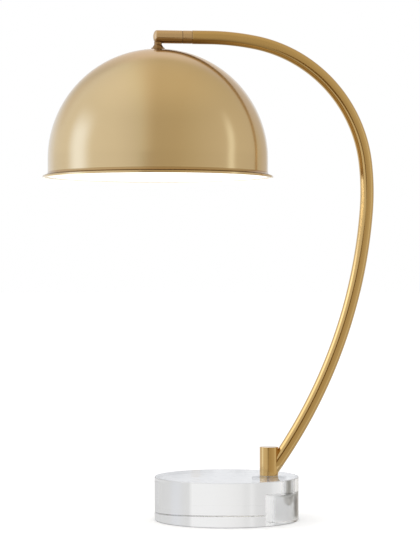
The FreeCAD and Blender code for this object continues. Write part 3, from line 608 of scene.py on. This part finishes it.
# Black rubber for the grommet, nearly without gloss.
EPDM = moulded("black_epdm_rubber", "1B1B1C", 0.65, RUBBER_GRAIN)
# Milky silicone: a bright line under the post and a pale pad in the glass.
SILICONE = moulded("milky_silicone", "C9CCCB", 0.4, SILICONE_GRAIN, index=1.41)
# Brown fibre, dark between the brass at the seam.
FIBRE = moulded("vulcanised_fibre", "5E4028", 0.6, FIBRE_GRAIN)
# Black moulding with some gloss, under the shade.
PHENOLIC = moulded("black_phenolic", "15110F", 0.3, PHENOLIC_GRAIN)
# The lead inside has a soft off-white sheath.
LEAD_SHEATH = moulded("white_silicone_sheath", "D8D4CC", 0.45, SHEATH_GRAIN, index=1.41)
# The bulb's body is plain white, and the glass bead in its cap is black and glossy.
BULB_PLASTIC = moulded("white_polycarbonate", "EDEBE6", 0.4, BULB_GRAIN, index=1.58)
BLACK_GLASS = moulded("black_vitrite", "0C0C0E", 0.12, BEAD_GRAIN)
# Clean white enamel inside the shade spreads the bulb's light.
WHITE_ENAMEL = moulded("white_stoved_enamel", "FBFAF7", 0.35, ENAMEL_GRAIN)
# Brown felt on a card, matt and dark, seen only in the brass.
CARD = moulded("brown_felt", "7A6238", 0.9, FELT_GRAIN)
# Polished glass: clear, with sharp mirror images.
CRYSTAL = clear_glass("polished_crown_glass", "FDFDFD", 0.0)
# The well and the bore are finely ground: a grey, blurred zone under the post.
GROUND = clear_glass("ground_crown_glass", "E2E3E4", 0.32)
# The upper arris is ground too, and draws a fine pale line.
ARRIS = clear_glass("ground_glass_arris", "DCDDDF", 0.4, 0.45)
# The lower arris is ground too, but darker grey and less clear: painted contact shadow where
# the disc stands.
SHADED_FOOT_ARRIS = clear_glass("foot_arris_contact_shadow", "A0A1A2", 0.45, 0.9)
# The globe is lit: a warm, even white.
BULB_LIT = lit_frost("lit_frosted_glass", "FFF9F0", 1.3)


# Base, post and clamp

TO_REAR = Matrix.Rotation(-math.pi / 2, 4, "X")


def make_glass_disc():
    """The clear disc, polished but for its bevels, and its stepped bore, which is ground."""
    radius = BASE_DIAMETER / 2

    def finish_at(centre):
        """Which finish a face has: 0 is polished, 2 the upper bevel and 3 the lower one, which
        carries the painted contact shadow.
        """
        if 0.0 < centre.z < BASE_BEVEL:
            return 3
        return 2 if BASE_THICKNESS - BASE_BEVEL < centre.z < BASE_THICKNESS else 0

    disc = turned("glass_disc", [
        (0.0, 0.0),
        (radius - BASE_BEVEL, 0.0),
        (radius, BASE_BEVEL),
        (radius, BASE_THICKNESS - BASE_BEVEL),
        (radius - BASE_BEVEL, BASE_THICKNESS),
        (0.0, BASE_THICKNESS),
    ], CRYSTAL, GROUND, ARRIS, SHADED_FOOT_ARRIS, choose=finish_at)
    over = BASE_BEVEL
    well = WELL_DIAMETER / 2
    bore = STUD_BORE_DIAMETER / 2
    tool = turned("well_tool", [
        (0.0, -over),
        (well + WELL_EDGE + over, -over),
        (well, WELL_EDGE),
        (well, WELL_DEPTH),
        (bore, WELL_DEPTH),
        (bore, BASE_THICKNESS + over),
        (0.0, BASE_THICKNESS + over),
    ], CRYSTAL, GROUND, ARRIS, SHADED_FOOT_ARRIS, choose=lambda centre: 1)
    put(tool, POST_OFFSET)
    carve(disc, tool)
    done(disc, "stand", "crystal_glass", "base_disc")


def make_post():
    """The bar post, hollowed for its gasket and bored in its rear for a lead."""
    radius = POST_DIAMETER / 2
    foot = BASE_THICKNESS + GASKET_PROUD
    top = BASE_THICKNESS + POST_HEIGHT
    recess = BASE_THICKNESS + GASKET_THICKNESS
    post = turned("brass_post", [
        (0.0, recess),
        (GASKET_DIAMETER / 2, recess),
        (GASKET_DIAMETER / 2, foot),
        (radius - POST_BEVEL / 2, foot),
        (radius, foot + POST_BEVEL / 2),
        (radius, top - POST_BEVEL),
        (radius - POST_BEVEL, top, POST_BEVEL),
        (0.0, top),
    ], BAR_BRASS)
    put(post, POST_OFFSET)
    for name, bore, start in (
        ("rear_bore", GROMMET_DIAMETER / 2, 0.0),
        ("grommet_seat", GROMMET_FLANGE_DIAMETER / 2, radius - GROMMET_SEAT_DEPTH),
    ):
        tool = rod(name, bore, start, POST_DIAMETER, BAR_BRASS, SMALL_ROUND_STEPS)
        put(tool, POST_OFFSET, 0.0, BASE_THICKNESS + LEADWAY_RISE, TO_REAR)
        carve(post, tool)
    done(post, "stand", "warm_brass", "post")


def make_grommet():
    """The rubber grommet in the post's rear, with a rounded flange."""
    bore = GROMMET_BORE_DIAMETER / 2
    flange = GROMMET_FLANGE_DIAMETER / 2
    shank = GROMMET_DIAMETER / 2
    thick = GROMMET_FLANGE_THICKNESS
    grommet = turned("rubber_grommet", [
        (bore, -GROMMET_LENGTH),
        (shank, -GROMMET_LENGTH),
        (shank, 0.0),
        (flange, 0.0),
        (flange, thick - GROMMET_ROUND),
        (flange - GROMMET_ROUND, thick, GROMMET_ROUND),
        (bore + GROMMET_ROUND, thick),
        (bore, thick - GROMMET_ROUND, GROMMET_ROUND),
    ], EPDM, steps=SMALL_ROUND_STEPS)
    seat = POST_DIAMETER / 2 - GROMMET_SEAT_DEPTH
    put(grommet, POST_OFFSET, seat, BASE_THICKNESS + LEADWAY_RISE, TO_REAR)
    done(grommet, "stand", "black_rubber", "lead_grommet")


def threaded(name, radius, pitch, low, high, material, bore=0.0):
    """A bar or tube whose outside carries a screw thread of one start, run out at its ends."""
    depth = pitch * THREAD_DEPTH_SHARE
    rows = math.ceil((high - low) / pitch * THREAD_ROWS)
    rings = []
    for row in range(rows + 1):
        height = low + (high - low) * row / rows
        fading = min(1.0, (height - low) / pitch, (high - height) / pitch)
        ring = []
        for step in range(THREAD_STEPS):
            phase = (height / pitch - step / THREAD_STEPS) % 1.0
            wave = 1 - abs(2 * phase - 1)
            reach = radius - depth * (1 - wave * fading)
            ring.append(round_point(reach, 360 * step / THREAD_STEPS, height))
        rings.append(ring)
    for height in (high, low):
        rings.append(level_ring(bore, height, THREAD_STEPS))
    return settle(skin(rings, closed_along=True)[0], name, (material,))


def hex_nut(name, flats, bore, low, high, material):
    """A hexagon nut, chamfered at both ends where its corners meet the turned cone."""
    corner = flats / 2 / math.cos(math.pi / HEX_STEPS)
    bar = turned(name, [
        (bore, low),
        (corner, low),
        (corner, high),
        (bore, high),
    ], material, steps=HEX_STEPS)
    face = flats / 2 - NUT_FACE_INSET
    reach = corner + NUT_CONE_REACH
    drop = (corner - flats / 2) * math.tan(math.radians(NUT_CHAMFER_ANGLE)) + NUT_CONE_DROP
    cone = turned(name + "_cone", [
        (0.0, low),
        (face, low),
        (reach, low + drop),
        (reach, high - drop),
        (face, high),
        (0.0, high),
    ], material, steps=SMALL_ROUND_STEPS)
    return carve(bar, cone, "INTERSECT")


def make_clamp():
    """The stud, the nut and the spring ring that hold the post on the glass."""
    low, high = box_corners("post_stud")
    stud = threaded("threaded_stud", STUD_DIAMETER / 2, STUD_PITCH, low.z, high.z, NICKEL_STEEL)
    put(stud, POST_OFFSET)
    done(stud, "stand", "zinc_steel", "post_stud")
    low, high = box_corners("clamp_nut")
    nut = hex_nut("chamfered_nut", high.y - low.y, STUD_DIAMETER / 2, low.z, high.z, NICKEL_STEEL)
    put(nut, POST_OFFSET)
    done(nut, "stand", "zinc_steel", "clamp_nut")
    low, high = box_corners("spring_ring")
    make_spring_ring(low.z, high.z, (high.x - low.x) / 2)


def make_spring_ring(low, high, outer):
    """A split lock washer: one square-wire turn whose two ends stand a little apart."""
    inner = STUD_DIAMETER / 2 + RING_CLEARANCE
    thick = (high - low) * RING_WIRE_SHARE
    rings = []
    for step in range(SMALL_ROUND_STEPS + 1):
        share = step / SMALL_ROUND_STEPS
        angle = RING_GAP_ANGLE / 2 + (360 - RING_GAP_ANGLE) * share
        foot = low + (high - low - thick) * share
        rings.append([
            round_point(inner, angle, foot),
            round_point(outer, angle, foot),
            round_point(outer, angle, foot + thick),
            round_point(inner, angle, foot + thick),
        ])
    form, rows = skin(rings)
    form.faces.new(rows[0])
    form.faces.new(rows[-1])
    piece = settle(form, "split_spring_ring", (NICKEL_STEEL,))
    put(piece, POST_OFFSET)
    done(piece, "stand", "zinc_steel", "spring_ring")


# Arm

def arm_line():
    """Places and headings along the arm's centreline, in its plane."""
    heading = ARM_END_HEADING - sum(turn for radius, turn in ARM_ARCS)
    x = POST_OFFSET
    z = BASE_THICKNESS + ARM_FOOT_RISE
    line = [(x, z, heading)]
    way = math.radians(heading)
    x += ARM_FOOT_RUN * math.cos(way)
    z += ARM_FOOT_RUN * math.sin(way)
    line.append((x, z, heading))
    for radius, turn in ARM_ARCS:
        steps = math.ceil(math.radians(turn) * radius / ARM_STEP)
        for step in range(1, steps + 1):
            before = math.radians(heading)
            ahead = math.radians(heading + turn * step / steps)
            line.append((
                x + radius * (math.sin(ahead) - math.sin(before)),
                z + radius * (math.cos(before) - math.cos(ahead)),
                heading + turn * step / steps,
            ))
        x, z, heading = line[-1]
    line.append((x - ARM_LEAD_RUN, z, heading))
    return line


def tube_section(x, z, heading, radius):
    """Points round one wall of the tube, at one place along it."""
    way = math.radians(heading)
    across = Vector((-math.sin(way), 0.0, math.cos(way)))
    aside = Vector((0.0, 1.0, 0.0))
    points = []
    for step in range(SMALL_ROUND_STEPS):
        turn = 2 * math.pi * step / SMALL_ROUND_STEPS
        offset = across * math.cos(turn) + aside * math.sin(turn)
        points.append((Vector((x, 0.0, z)) + offset * radius) * MM)
    return points


def map_along(form, walls, rows):
    """Lay a map on the tube for its brush marks: u runs along it and v runs round it."""
    map_layer = form.loops.layers.uv.new("along")
    along = {}
    run = 0.0
    before = walls[0]
    for wall, row in zip(walls, rows):
        run += math.hypot(wall[0] - before[0], wall[1] - before[1])
        before = wall
        for step, vertex in enumerate(row):
            if vertex.is_valid:
                along[vertex] = (run * MM, step / SMALL_ROUND_STEPS)
    around = math.pi * ARM_DIAMETER * MM
    half_turn_share = 0.5
    for face in form.faces:
        values = [along[loop.vert] for loop in face.loops]
        turns = [turn for run, turn in values]
        seam = max(turns) - min(turns) > half_turn_share
        for loop, (run, turn) in zip(face.loops, values):
            lap = 1.0 if seam and turn < half_turn_share else 0.0
            loop[map_layer].uv = (run, (turn + lap) * around)


def make_arm():
    """The tube along its line, its end rounded and its foot coped to the post."""
    line = arm_line()
    outer = ARM_DIAMETER / 2
    inner = outer - ARM_WALL
    end_x, end_z, end_heading = line[-1]
    walls = [(x, z, heading, outer) for x, z, heading in line[:-1]]
    walls.append((end_x + ARM_END_ROUND, end_z, end_heading, outer))
    walls.append((end_x, end_z, end_heading, outer - ARM_END_ROUND))
    walls.append((end_x, end_z, end_heading, inner))
    walls += [(x, z, heading, inner) for x, z, heading in reversed(line[:-1])]
    form, rows = skin([tube_section(*wall) for wall in walls], closed_along=True)
    map_along(form, walls, rows)
    arm = settle(form, "bent_arm", (ARM_BRASS,))
    cope_top = BASE_THICKNESS + POST_HEIGHT * 2
    cope = rod("cope_tool", POST_DIAMETER / 2 + COPE_GAP, 0.0, cope_top, ARM_BRASS)
    put(cope, POST_OFFSET)
    carve(arm, cope)
    done(arm, "stand", "warm_brass", "arm_tube")
    return end_x, end_z


# Head, in places measured from the arm's end towards the dome

TO_HEAD = Matrix.Rotation(-math.pi / 2, 4, "Y")


def make_collar(end_x, axis_z):
    """The fixed half of the swivel, with its spigot in the tube and a groove, darkened with
    painted shade, where they meet.
    """
    outer = HEAD_DIAMETER / 2
    spigot = ARM_DIAMETER / 2 - ARM_WALL - FIT_GAP
    bore = SPINDLE_DIAMETER / 2 + SPINDLE_GAP

    def finish_at(centre):
        """Which finish a face has: 1 is the groove's painted shade, 0 the rest."""
        return 1 if 0.0 < centre.z < COLLAR_GROOVE_WIDTH else 0

    collar = turned("swivel_collar", [
        (bore, -SPIGOT_LENGTH),
        (spigot, -SPIGOT_LENGTH),
        (spigot, 0.0),
        (outer - COLLAR_GROOVE_DEPTH, 0.0),
        (outer - COLLAR_GROOVE_DEPTH, COLLAR_GROOVE_WIDTH),
        (outer, COLLAR_GROOVE_WIDTH),
        (outer, COLLAR_LENGTH - SEAM_BEVEL),
        (outer - SEAM_BEVEL, COLLAR_LENGTH, SEAM_BEVEL),
        (bore, COLLAR_LENGTH),
    ], HEAD_BRASS, SHADED_NECK_BRASS, choose=finish_at)
    put(collar, end_x, 0.0, axis_z, TO_HEAD)
    done(collar, "stand", "warm_brass", "arm_collar")


def make_barrel(end_x, axis_z):
    """The barrel, seated on the neck; an arc that touches both joins its side to its dome."""
    outer = HEAD_DIAMETER / 2
    start = COLLAR_LENGTH + SEAM_WIDTH
    end = start + BARREL_LENGTH
    bore = BARREL_BORE_DIAMETER / 2
    shoulder = outer - DOME_EDGE_RADIUS
    squares = shoulder ** 2 + DOME_DEPTH ** 2 - DOME_EDGE_RADIUS ** 2
    crown = squares / 2 / (DOME_DEPTH - DOME_EDGE_RADIUS)
    middle = end + DOME_DEPTH - crown
    share = crown / (crown - DOME_EDGE_RADIUS)
    barrel = turned("head_barrel_shell", [
        (bore, start),
        (outer - SEAM_BEVEL, start),
        (outer, start + SEAM_BEVEL, SEAM_BEVEL),
        (outer, end),
        (shoulder * share, middle + (crown - DOME_DEPTH) * share, DOME_EDGE_RADIUS),
        (0.0, end + DOME_DEPTH, crown),
        (0.0, start + BARREL_BORE_DEPTH),
        (bore, start + BARREL_BORE_DEPTH),
    ], HEAD_BRASS)
    put(barrel, end_x, 0.0, axis_z, TO_HEAD)
    neck_x = end_x - COLLAR_LENGTH - NECK_OFFSET
    seat_top = axis_z - outer + NECK_SEAT_RISE
    tool = rod("neck_seat_tool", NECK_DIAMETER / 2 + FIT_GAP, seat_top - HEAD_DIAMETER, seat_top,
               HEAD_BRASS, SMALL_ROUND_STEPS)
    put(tool, neck_x)
    carve(barrel, tool)
    done(barrel, "head", "warm_brass", "head_barrel")
    return neck_x


def make_neck(neck_x, axis_z):
    """The neck, flared to a bell with a rounded rim on the shade, and the nipple in it."""
    foot = axis_z - SHADE_DROP
    rim_top = foot + BELL_RIM_HEIGHT
    rim = BELL_RIM_DIAMETER / 2
    neck = NECK_DIAMETER / 2
    bore = NIPPLE_DIAMETER / 2 + FIT_GAP
    top = axis_z - HEAD_DIAMETER / 2 + NECK_SEAT_RISE
    # The neck's darker brass is painted shade under the head.
    bell = turned("neck_bell_turning", [
        (bore, foot),
        (rim - BELL_RIM_ROUND / 2, foot),
        (rim, foot + BELL_RIM_ROUND / 2, BELL_RIM_ROUND / 2),
        (rim, rim_top - BELL_RIM_ROUND),
        (rim - BELL_RIM_ROUND, rim_top, BELL_RIM_ROUND),
        (BELL_WAIST_DIAMETER / 2, rim_top),
        (neck, rim_top + BELL_HEIGHT, BELL_FLANK_RADIUS),
        (neck, top),
        (bore, top),
    ], SHADED_NECK_BRASS, steps=SMALL_ROUND_STEPS * 2)
    put(bell, neck_x)
    done(bell, "head", "satin_brass", "neck_bell")
    low, high = box_corners("hollow_nipple")
    nipple = threaded("threaded_nipple", NIPPLE_DIAMETER / 2, NIPPLE_PITCH, low.z, high.z,
                      ZINC_STEEL, bore=NIPPLE_BORE_DIAMETER / 2)
    put(nipple, neck_x)
    done(nipple, "head", "zinc_steel", "hollow_nipple")


def make_shade(neck_x, axis_z):
    """The spun dome: satin brass outside and over the lip, with painted shade in the crease
    between them, and white enamel inside."""
    outer = SHADE_RADIUS
    inner = outer - SHADE_WALL
    hole = SHADE_HOLE_DIAMETER / 2
    skirt = -SHADE_SKIRT
    cove_out = outer + LIP_COVE_RADIUS
    ledge = skirt - LIP_COVE_RADIUS
    corner = LIP_BEAD_RADIUS
    lip = cove_out + LIP_LEDGE + LIP_CORNER_RADIUS
    groove = ledge - LIP_GROOVE_HEIGHT
    foot = ledge - LIP_DROP
    edge = SHADE_WALL / 2

    def finish_at(centre):
        """Which finish a face has: 0 is brass, 1 is enamel, 2 is the crease's painted shade."""
        reach = math.hypot(centre.x, centre.y)
        if centre.z > skirt:
            return 1 if math.hypot(reach, max(centre.z, 0.0)) < (outer + inner) / 2 else 0
        if centre.z < groove - corner:
            return 1 if reach < lip - edge / 2 else 0
        if centre.z < ledge - edge:
            return 1 if reach < cove_out - LIP_GROOVE_DEPTH / 2 - edge else 2
        from_cove = math.hypot(reach - cove_out, centre.z - skirt)
        return 1 if from_cove > LIP_COVE_RADIUS + edge else 2

    shade = turned("spun_shade", [
        (hole, math.sqrt(outer ** 2 - hole ** 2)),
        (outer, 0.0, outer, "right"),
        (outer, skirt),
        (cove_out, ledge, LIP_COVE_RADIUS),
        (cove_out + LIP_GROOVE_DEPTH / 4, ledge),
        (cove_out - LIP_GROOVE_DEPTH / 2, ledge - LIP_GROOVE_HEIGHT / 2),
        (lip - corner, groove),
        (lip, groove - corner, corner, "right"),
        (lip, foot + edge),
        (lip - edge, foot, edge, "right"),
        (lip - SHADE_WALL, foot + edge, edge, "right"),
        (lip - SHADE_WALL, groove - corner),
        (cove_out, groove - edge),
        (inner, skirt, LIP_COVE_RADIUS + SHADE_WALL, "right"),
        (inner, 0.0),
        (hole, math.sqrt(inner ** 2 - hole ** 2), inner),
    ], SHADE_BRASS, WHITE_ENAMEL, SHADED_CREASE_BRASS, steps=ROUND_STEPS * 2, choose=finish_at)
    put(shade, neck_x, 0.0, axis_z - SHADE_DROP - SHADE_RADIUS)
    done(shade, "head", "satin_brass", "shade")


def rolled_shell(name, node, wall, thread_low, thread_high, material):
    """A sheet-metal shell with a round screw thread rolled in it, plain at both ends."""
    low, high = box_corners(node)
    radius = (high.y - low.y) / 2
    rows = math.ceil((high.z - low.z) / EDISON_PITCH * EDISON_ROWS)
    heights = [low.z + (high.z - low.z) * row / rows for row in range(rows + 1)]
    rings = []
    for inset, levels in ((0.0, heights), (wall, reversed(heights))):
        for height in levels:
            inside = min(height - thread_low, thread_high - height)
            fading = min(max(inside / EDISON_PITCH, 0.0), 1.0)
            ring = []
            for step in range(THREAD_STEPS):
                phase = 2 * math.pi * (height / EDISON_PITCH - step / THREAD_STEPS)
                groove = EDISON_DEPTH * fading * (1 + math.cos(phase)) / 2
                ring.append(round_point(radius - inset - groove, 360 * step / THREAD_STEPS, height))
            rings.append(ring)
    return settle(skin(rings, closed_along=True)[0], name, (material,))


def make_lampholder(neck_x):
    """The nut under the shade, and the screw shells of the holder and the bulb."""
    low, high = box_corners("shade_nut")
    nut = hex_nut("shade_fixing_nut", high.y - low.y, NIPPLE_DIAMETER / 2, low.z, high.z,
                  ZINC_STEEL)
    put(nut, neck_x)
    done(nut, "head", "zinc_steel", "shade_nut")
    low, high = box_corners("bulb_cap")
    thread_low = low.z + SHELL_PLAIN_FOOT
    thread_high = high.z - SHELL_PLAIN_TOP
    for name, node, wall, material, slot in (
        ("rolled_socket_shell", "screw_shell", SOCKET_WALL, BARE_BRASS, "turned_brass"),
        ("rolled_bulb_cap", "bulb_cap", BULB_CAP_WALL, NICKEL_SHELL, "bulb_shell"),
    ):
        shell = rolled_shell(name, node, wall, thread_low, thread_high, material)
        put(shell, neck_x)
        done(shell, "head", slot, node)


# Studio

def camera_ahead():
    turn = math.radians(CAMERA_TURN)
    return Vector((math.sin(turn), math.cos(turn), 0.0))


def camera_right():
    turn = math.radians(CAMERA_TURN)
    return Vector((math.cos(turn), -math.sin(turn), 0.0))


def new_light(name, place, aim, size, power, tone, mirrored=False):
    """A softbox that the camera doesn't see, and the brass only if it is to be mirrored."""
    lamp = bpy.data.lights.new(name, "AREA")
    lamp.shape = "RECTANGLE"
    lamp.size = size[0] * MM
    lamp.size_y = size[1] * MM
    lamp.energy = power
    lamp.color = linear(tone)[:3]
    holder = bpy.data.objects.new(name, lamp)
    holder.location = Vector(place) * MM
    away = Vector(place) - Vector(aim)
    holder.rotation_euler = away.to_track_quat("Z", "Y").to_euler()
    bpy.context.scene.collection.objects.link(holder)
    holder.visible_glossy = mirrored
    holder.visible_transmission = False
    holder.visible_camera = False


def make_lights(neck_x, axis_z):
    """A softbox on each side, a small one for the arm, and the bulb's light under the shade."""
    new_light("left_softbox", LEFT_LIGHT_PLACE, SHADE_AIM, LEFT_LIGHT_SIZE,
              LEFT_LIGHT_POWER, LIGHT_TONE)
    new_light("right_softbox", RIGHT_LIGHT_PLACE, SHADE_AIM, RIGHT_LIGHT_SIZE,
              RIGHT_LIGHT_POWER, LIGHT_TONE)
    new_light("arm_softbox", ARM_LIGHT_PLACE, ARM_LIGHT_AIM, ARM_LIGHT_SIZE,
              ARM_LIGHT_POWER, ARM_LIGHT_TONE, mirrored=True)
    below_shade = axis_z - SHADE_DROP - SHADE_RADIUS - SHADE_SKIRT - GLOW_DROP
    new_light("bulb_glow", (neck_x, 0.0, below_shade), (neck_x, 0.0, axis_z), GLOW_SIZE,
              GLOW_POWER, GLOW_TONE)


def make_card():
    """A brown card in front of the arm, below the shade, that the camera doesn't see: it gives
    the arm the dark line along its middle."""
    right = camera_right()
    ahead = camera_ahead()
    form = bmesh.new()
    corners = []
    for aside, height in CARD_CORNERS:
        place = right * aside + ahead * CARD_AHEAD
        corners.append(form.verts.new(Vector((place.x, place.y, height)) * MM))
    form.faces.new(corners)
    card = settle(form, "studio_card", (CARD,))
    for ray in ("camera", "diffuse", "transmission", "shadow", "volume_scatter"):
        setattr(card, "visible_" + ray, False)


def tone_ramp(tree, place, stops):
    """Tones along one component of a direction, from -1 to 1."""
    share = add(tree, "ShaderNodeMapRange", {"Value": place, "From Min": -1.0, "From Max": 1.0})
    ramp = add(tree, "ShaderNodeValToRGB", {"Fac": share.outputs[0]})
    elements = ramp.color_ramp.elements
    elements.remove(elements[1])
    for index, (where, tone) in enumerate(stops):
        element = elements[0] if index == 0 else elements.new((where + 1) / 2)
        element.position = (where + 1) / 2
        element.color = linear(tone)
    return ramp.outputs[0]


def band(tree, place, middle, half_width, softness):
    """1 near the middle of a band and 0 outside it."""
    off = add(tree, "ShaderNodeMath", {0: place, 1: middle}, operation="SUBTRACT")
    away = add(tree, "ShaderNodeMath", {0: off.outputs[0]}, operation="ABSOLUTE")
    return fade(tree, away.outputs[0], half_width + softness, half_width - softness)


def part_along(tree, direction, way):
    """How far a direction runs along a way, from -1 to 1."""
    feeds = {0: direction, 1: way}
    return add(tree, "ShaderNodeVectorMath", feeds, operation="DOT_PRODUCT").outputs["Value"]


def studio_walls(tree, sideways, ahead, rise):
    """Warm grey walls, darkest in the middle and lightest on the left, white paper behind the
    lamp and a brighter ceiling."""
    walls = tone_ramp(tree, sideways, WALL_TONES)
    room = mixed(tree, 1.0, walls, tone_ramp(tree, rise, RISE_TONES), "MULTIPLY")
    for ahead_zone, rise_zone, tones in (
        (PAPER_AHEAD, PAPER_RISE, PAPER_TONES),
        (UPPER_PAPER_AHEAD, UPPER_PAPER_RISE, UPPER_PAPER_TONES),
    ):
        behind = times(tree, fade(tree, ahead, *ahead_zone), fade(tree, rise, *rise_zone))
        room = mixed(tree, behind, room, tone_ramp(tree, sideways, tones))
    gain = (CEILING_GAIN, CEILING_GAIN, CEILING_GAIN, 1.0)
    brighter = mixed(tree, 1.0, room, gain, "MULTIPLY")
    return mixed(tree, fade(tree, rise, *CEILING_RISE), room, brighter)


def camera_stand(tree, under, sideways, ahead, rise):
    """A dark upright with soft edges, in front of the lamp."""
    here = band(tree, sideways, STAND_MIDDLE, STAND_HALF_WIDTH, STAND_SOFTNESS)
    for place, zone in ((rise, STAND_TOP), (rise, STAND_FOOT), (ahead, STAND_AHEAD)):
        here = times(tree, here, fade(tree, place, *zone))
    return mixed(tree, here, under, linear(STAND_TONE))


def side_strip(tree, under, sideways, ahead, rise, strip):
    """A tall bright strip on one side of the studio, soft at its edges and fading upwards."""
    side, lean, eye_level, half_width, tone, gain = strip
    feeds = {0: rise, 1: lean, 2: eye_level}
    middle = add(tree, "ShaderNodeMath", feeds, operation="MULTIPLY_ADD").outputs[0]
    here = band(tree, ahead, middle, half_width, half_width * STRIP_SOFT_SHARE)
    here = times(tree, here, fade(tree, sideways, 0.0, STRIP_SIDEWAYS * side))
    here = times(tree, here, fade(tree, rise, *STRIP_RISE))
    bright = [gain * part for part in linear(tone)[:3]]
    return mixed(tree, here, under, (*bright, 1.0))


def make_world():
    """The studio as the brass mirrors it, plainer greys where the glass shows it, and white
    for all other light."""
    world = bpy.data.worlds.new("studio")
    bpy.context.scene.world = world
    world.use_nodes = True
    tree = world.node_tree
    tree.nodes.clear()
    direction = add(tree, "ShaderNodeTexCoord").outputs["Generated"]
    sideways = part_along(tree, direction, camera_right())
    ahead = part_along(tree, direction, camera_ahead())
    rise = add(tree, "ShaderNodeSeparateXYZ", {0: direction}).outputs["Z"]
    room = studio_walls(tree, sideways, ahead, rise)
    room = camera_stand(tree, room, sideways, ahead, rise)
    for strip in STRIPS:
        room = side_strip(tree, room, sideways, ahead, rise, strip)
    ray = add(tree, "ShaderNodeLightPath")
    bounced = mixed(tree, ray.outputs["Is Glossy Ray"], linear(WHITE), room)
    through = tone_ramp(tree, sideways, THROUGH_TONES)
    seen = mixed(tree, ray.outputs["Is Transmission Ray"], bounced, through)
    light = add(tree, "ShaderNodeBackground", {"Color": seen, "Strength": 1.0})
    add(tree, "ShaderNodeOutputWorld", {"Surface": light.outputs[0]})


def make_floor():
    """A white paper sweep: its own white plus a little glow keeps it white but for the shadow."""
    material, tree = new_material("white_paper_sweep")
    fibre = noise(tree, on_object(tree), PAPER_GRAIN, detail=3.0)
    shaded(material, tree, {
        "Base Color": linear(PAPER_WHITE), "Roughness": 0.9,
        "Normal": bumped(tree, fibre, strength=0.05, depth=GRAIN_DEPTH),
        "Emission Color": linear(WHITE), "Emission Strength": FLOOR_GLOW,
    })
    form = bmesh.new()
    corners = []
    for x, y in ((-1, -1), (1, -1), (1, 1), (-1, 1)):
        place = Vector((x * FLOOR_REACH, y * FLOOR_REACH, -FLOOR_DROP))
        corners.append(form.verts.new(place * MM))
    form.faces.new(corners)
    floor = settle(form, "floor", (material,))
    floor.visible_glossy = False
    floor.visible_transmission = False


def make_camera():
    """A level camera, set aside so that the disc's centre shows where the photograph has it."""
    ahead = camera_ahead()
    right = camera_right()
    aside = (BASE_PIXEL - PHOTO_WIDTH / 2) / FOCAL_PIXELS * CAMERA_DISTANCE
    place = -ahead * CAMERA_DISTANCE - right * aside
    place.z = CAMERA_HEIGHT
    lens = bpy.data.cameras.new("camera")
    lens.sensor_fit = "VERTICAL"
    lens.sensor_height = SENSOR_HEIGHT
    lens.lens = FOCAL_PIXELS / PHOTO_HEIGHT * SENSOR_HEIGHT
    lens.clip_end = CAMERA_REACH * MM
    camera = bpy.data.objects.new("camera", lens)
    aimed = ahead.to_track_quat("-Z", "Y").to_matrix().to_4x4()
    camera.matrix_world = Matrix.Translation(place * MM) @ aimed
    bpy.context.scene.collection.objects.link(camera)
    bpy.context.scene.camera = camera


# CAD nodes that stay as they are, each with its material

NODE_MATERIALS = {
    "post_gasket": SILICONE, "clamp_pad": SILICONE, "clamp_washer": NICKEL_STEEL,
    "arm_lead": LEAD_SHEATH, "head_lead": LEAD_SHEATH, "stop_pin": ZINC_STEEL,
    "friction_disc": FIBRE, "swivel_spindle": ZINC_STEEL, "spring_washer": ZINC_STEEL,
    "swivel_nut": ZINC_STEEL, "lock_nut": ZINC_STEEL, "head_bush": BARE_BRASS,
    "shade_washer": ZINC_STEEL, "holder_cap": BARE_BRASS, "holder_body": PHENOLIC,
    "centre_contact": BARE_BRASS, "bulb_insulator": BLACK_GLASS, "bulb_contact": BARE_BRASS,
    "bulb_body": BULB_PLASTIC, "bulb_globe": BULB_LIT,
}


def dress_nodes():
    for name, material in NODE_MATERIALS.items():
        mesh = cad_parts[name].data
        mesh.materials.clear()
        mesh.materials.append(material)


make_glass_disc()
make_post()
make_grommet()
make_clamp()
arm_end_x, axis_height = make_arm()
make_collar(arm_end_x, axis_height)
neck_place = make_barrel(arm_end_x, axis_height)
make_neck(neck_place, axis_height)
make_shade(neck_place, axis_height)
make_lampholder(neck_place)
dress_nodes()
make_floor()
make_card()
make_world()
make_lights(neck_place, axis_height)
make_camera()
bpy.context.scene.view_settings.view_transform = "Standard"
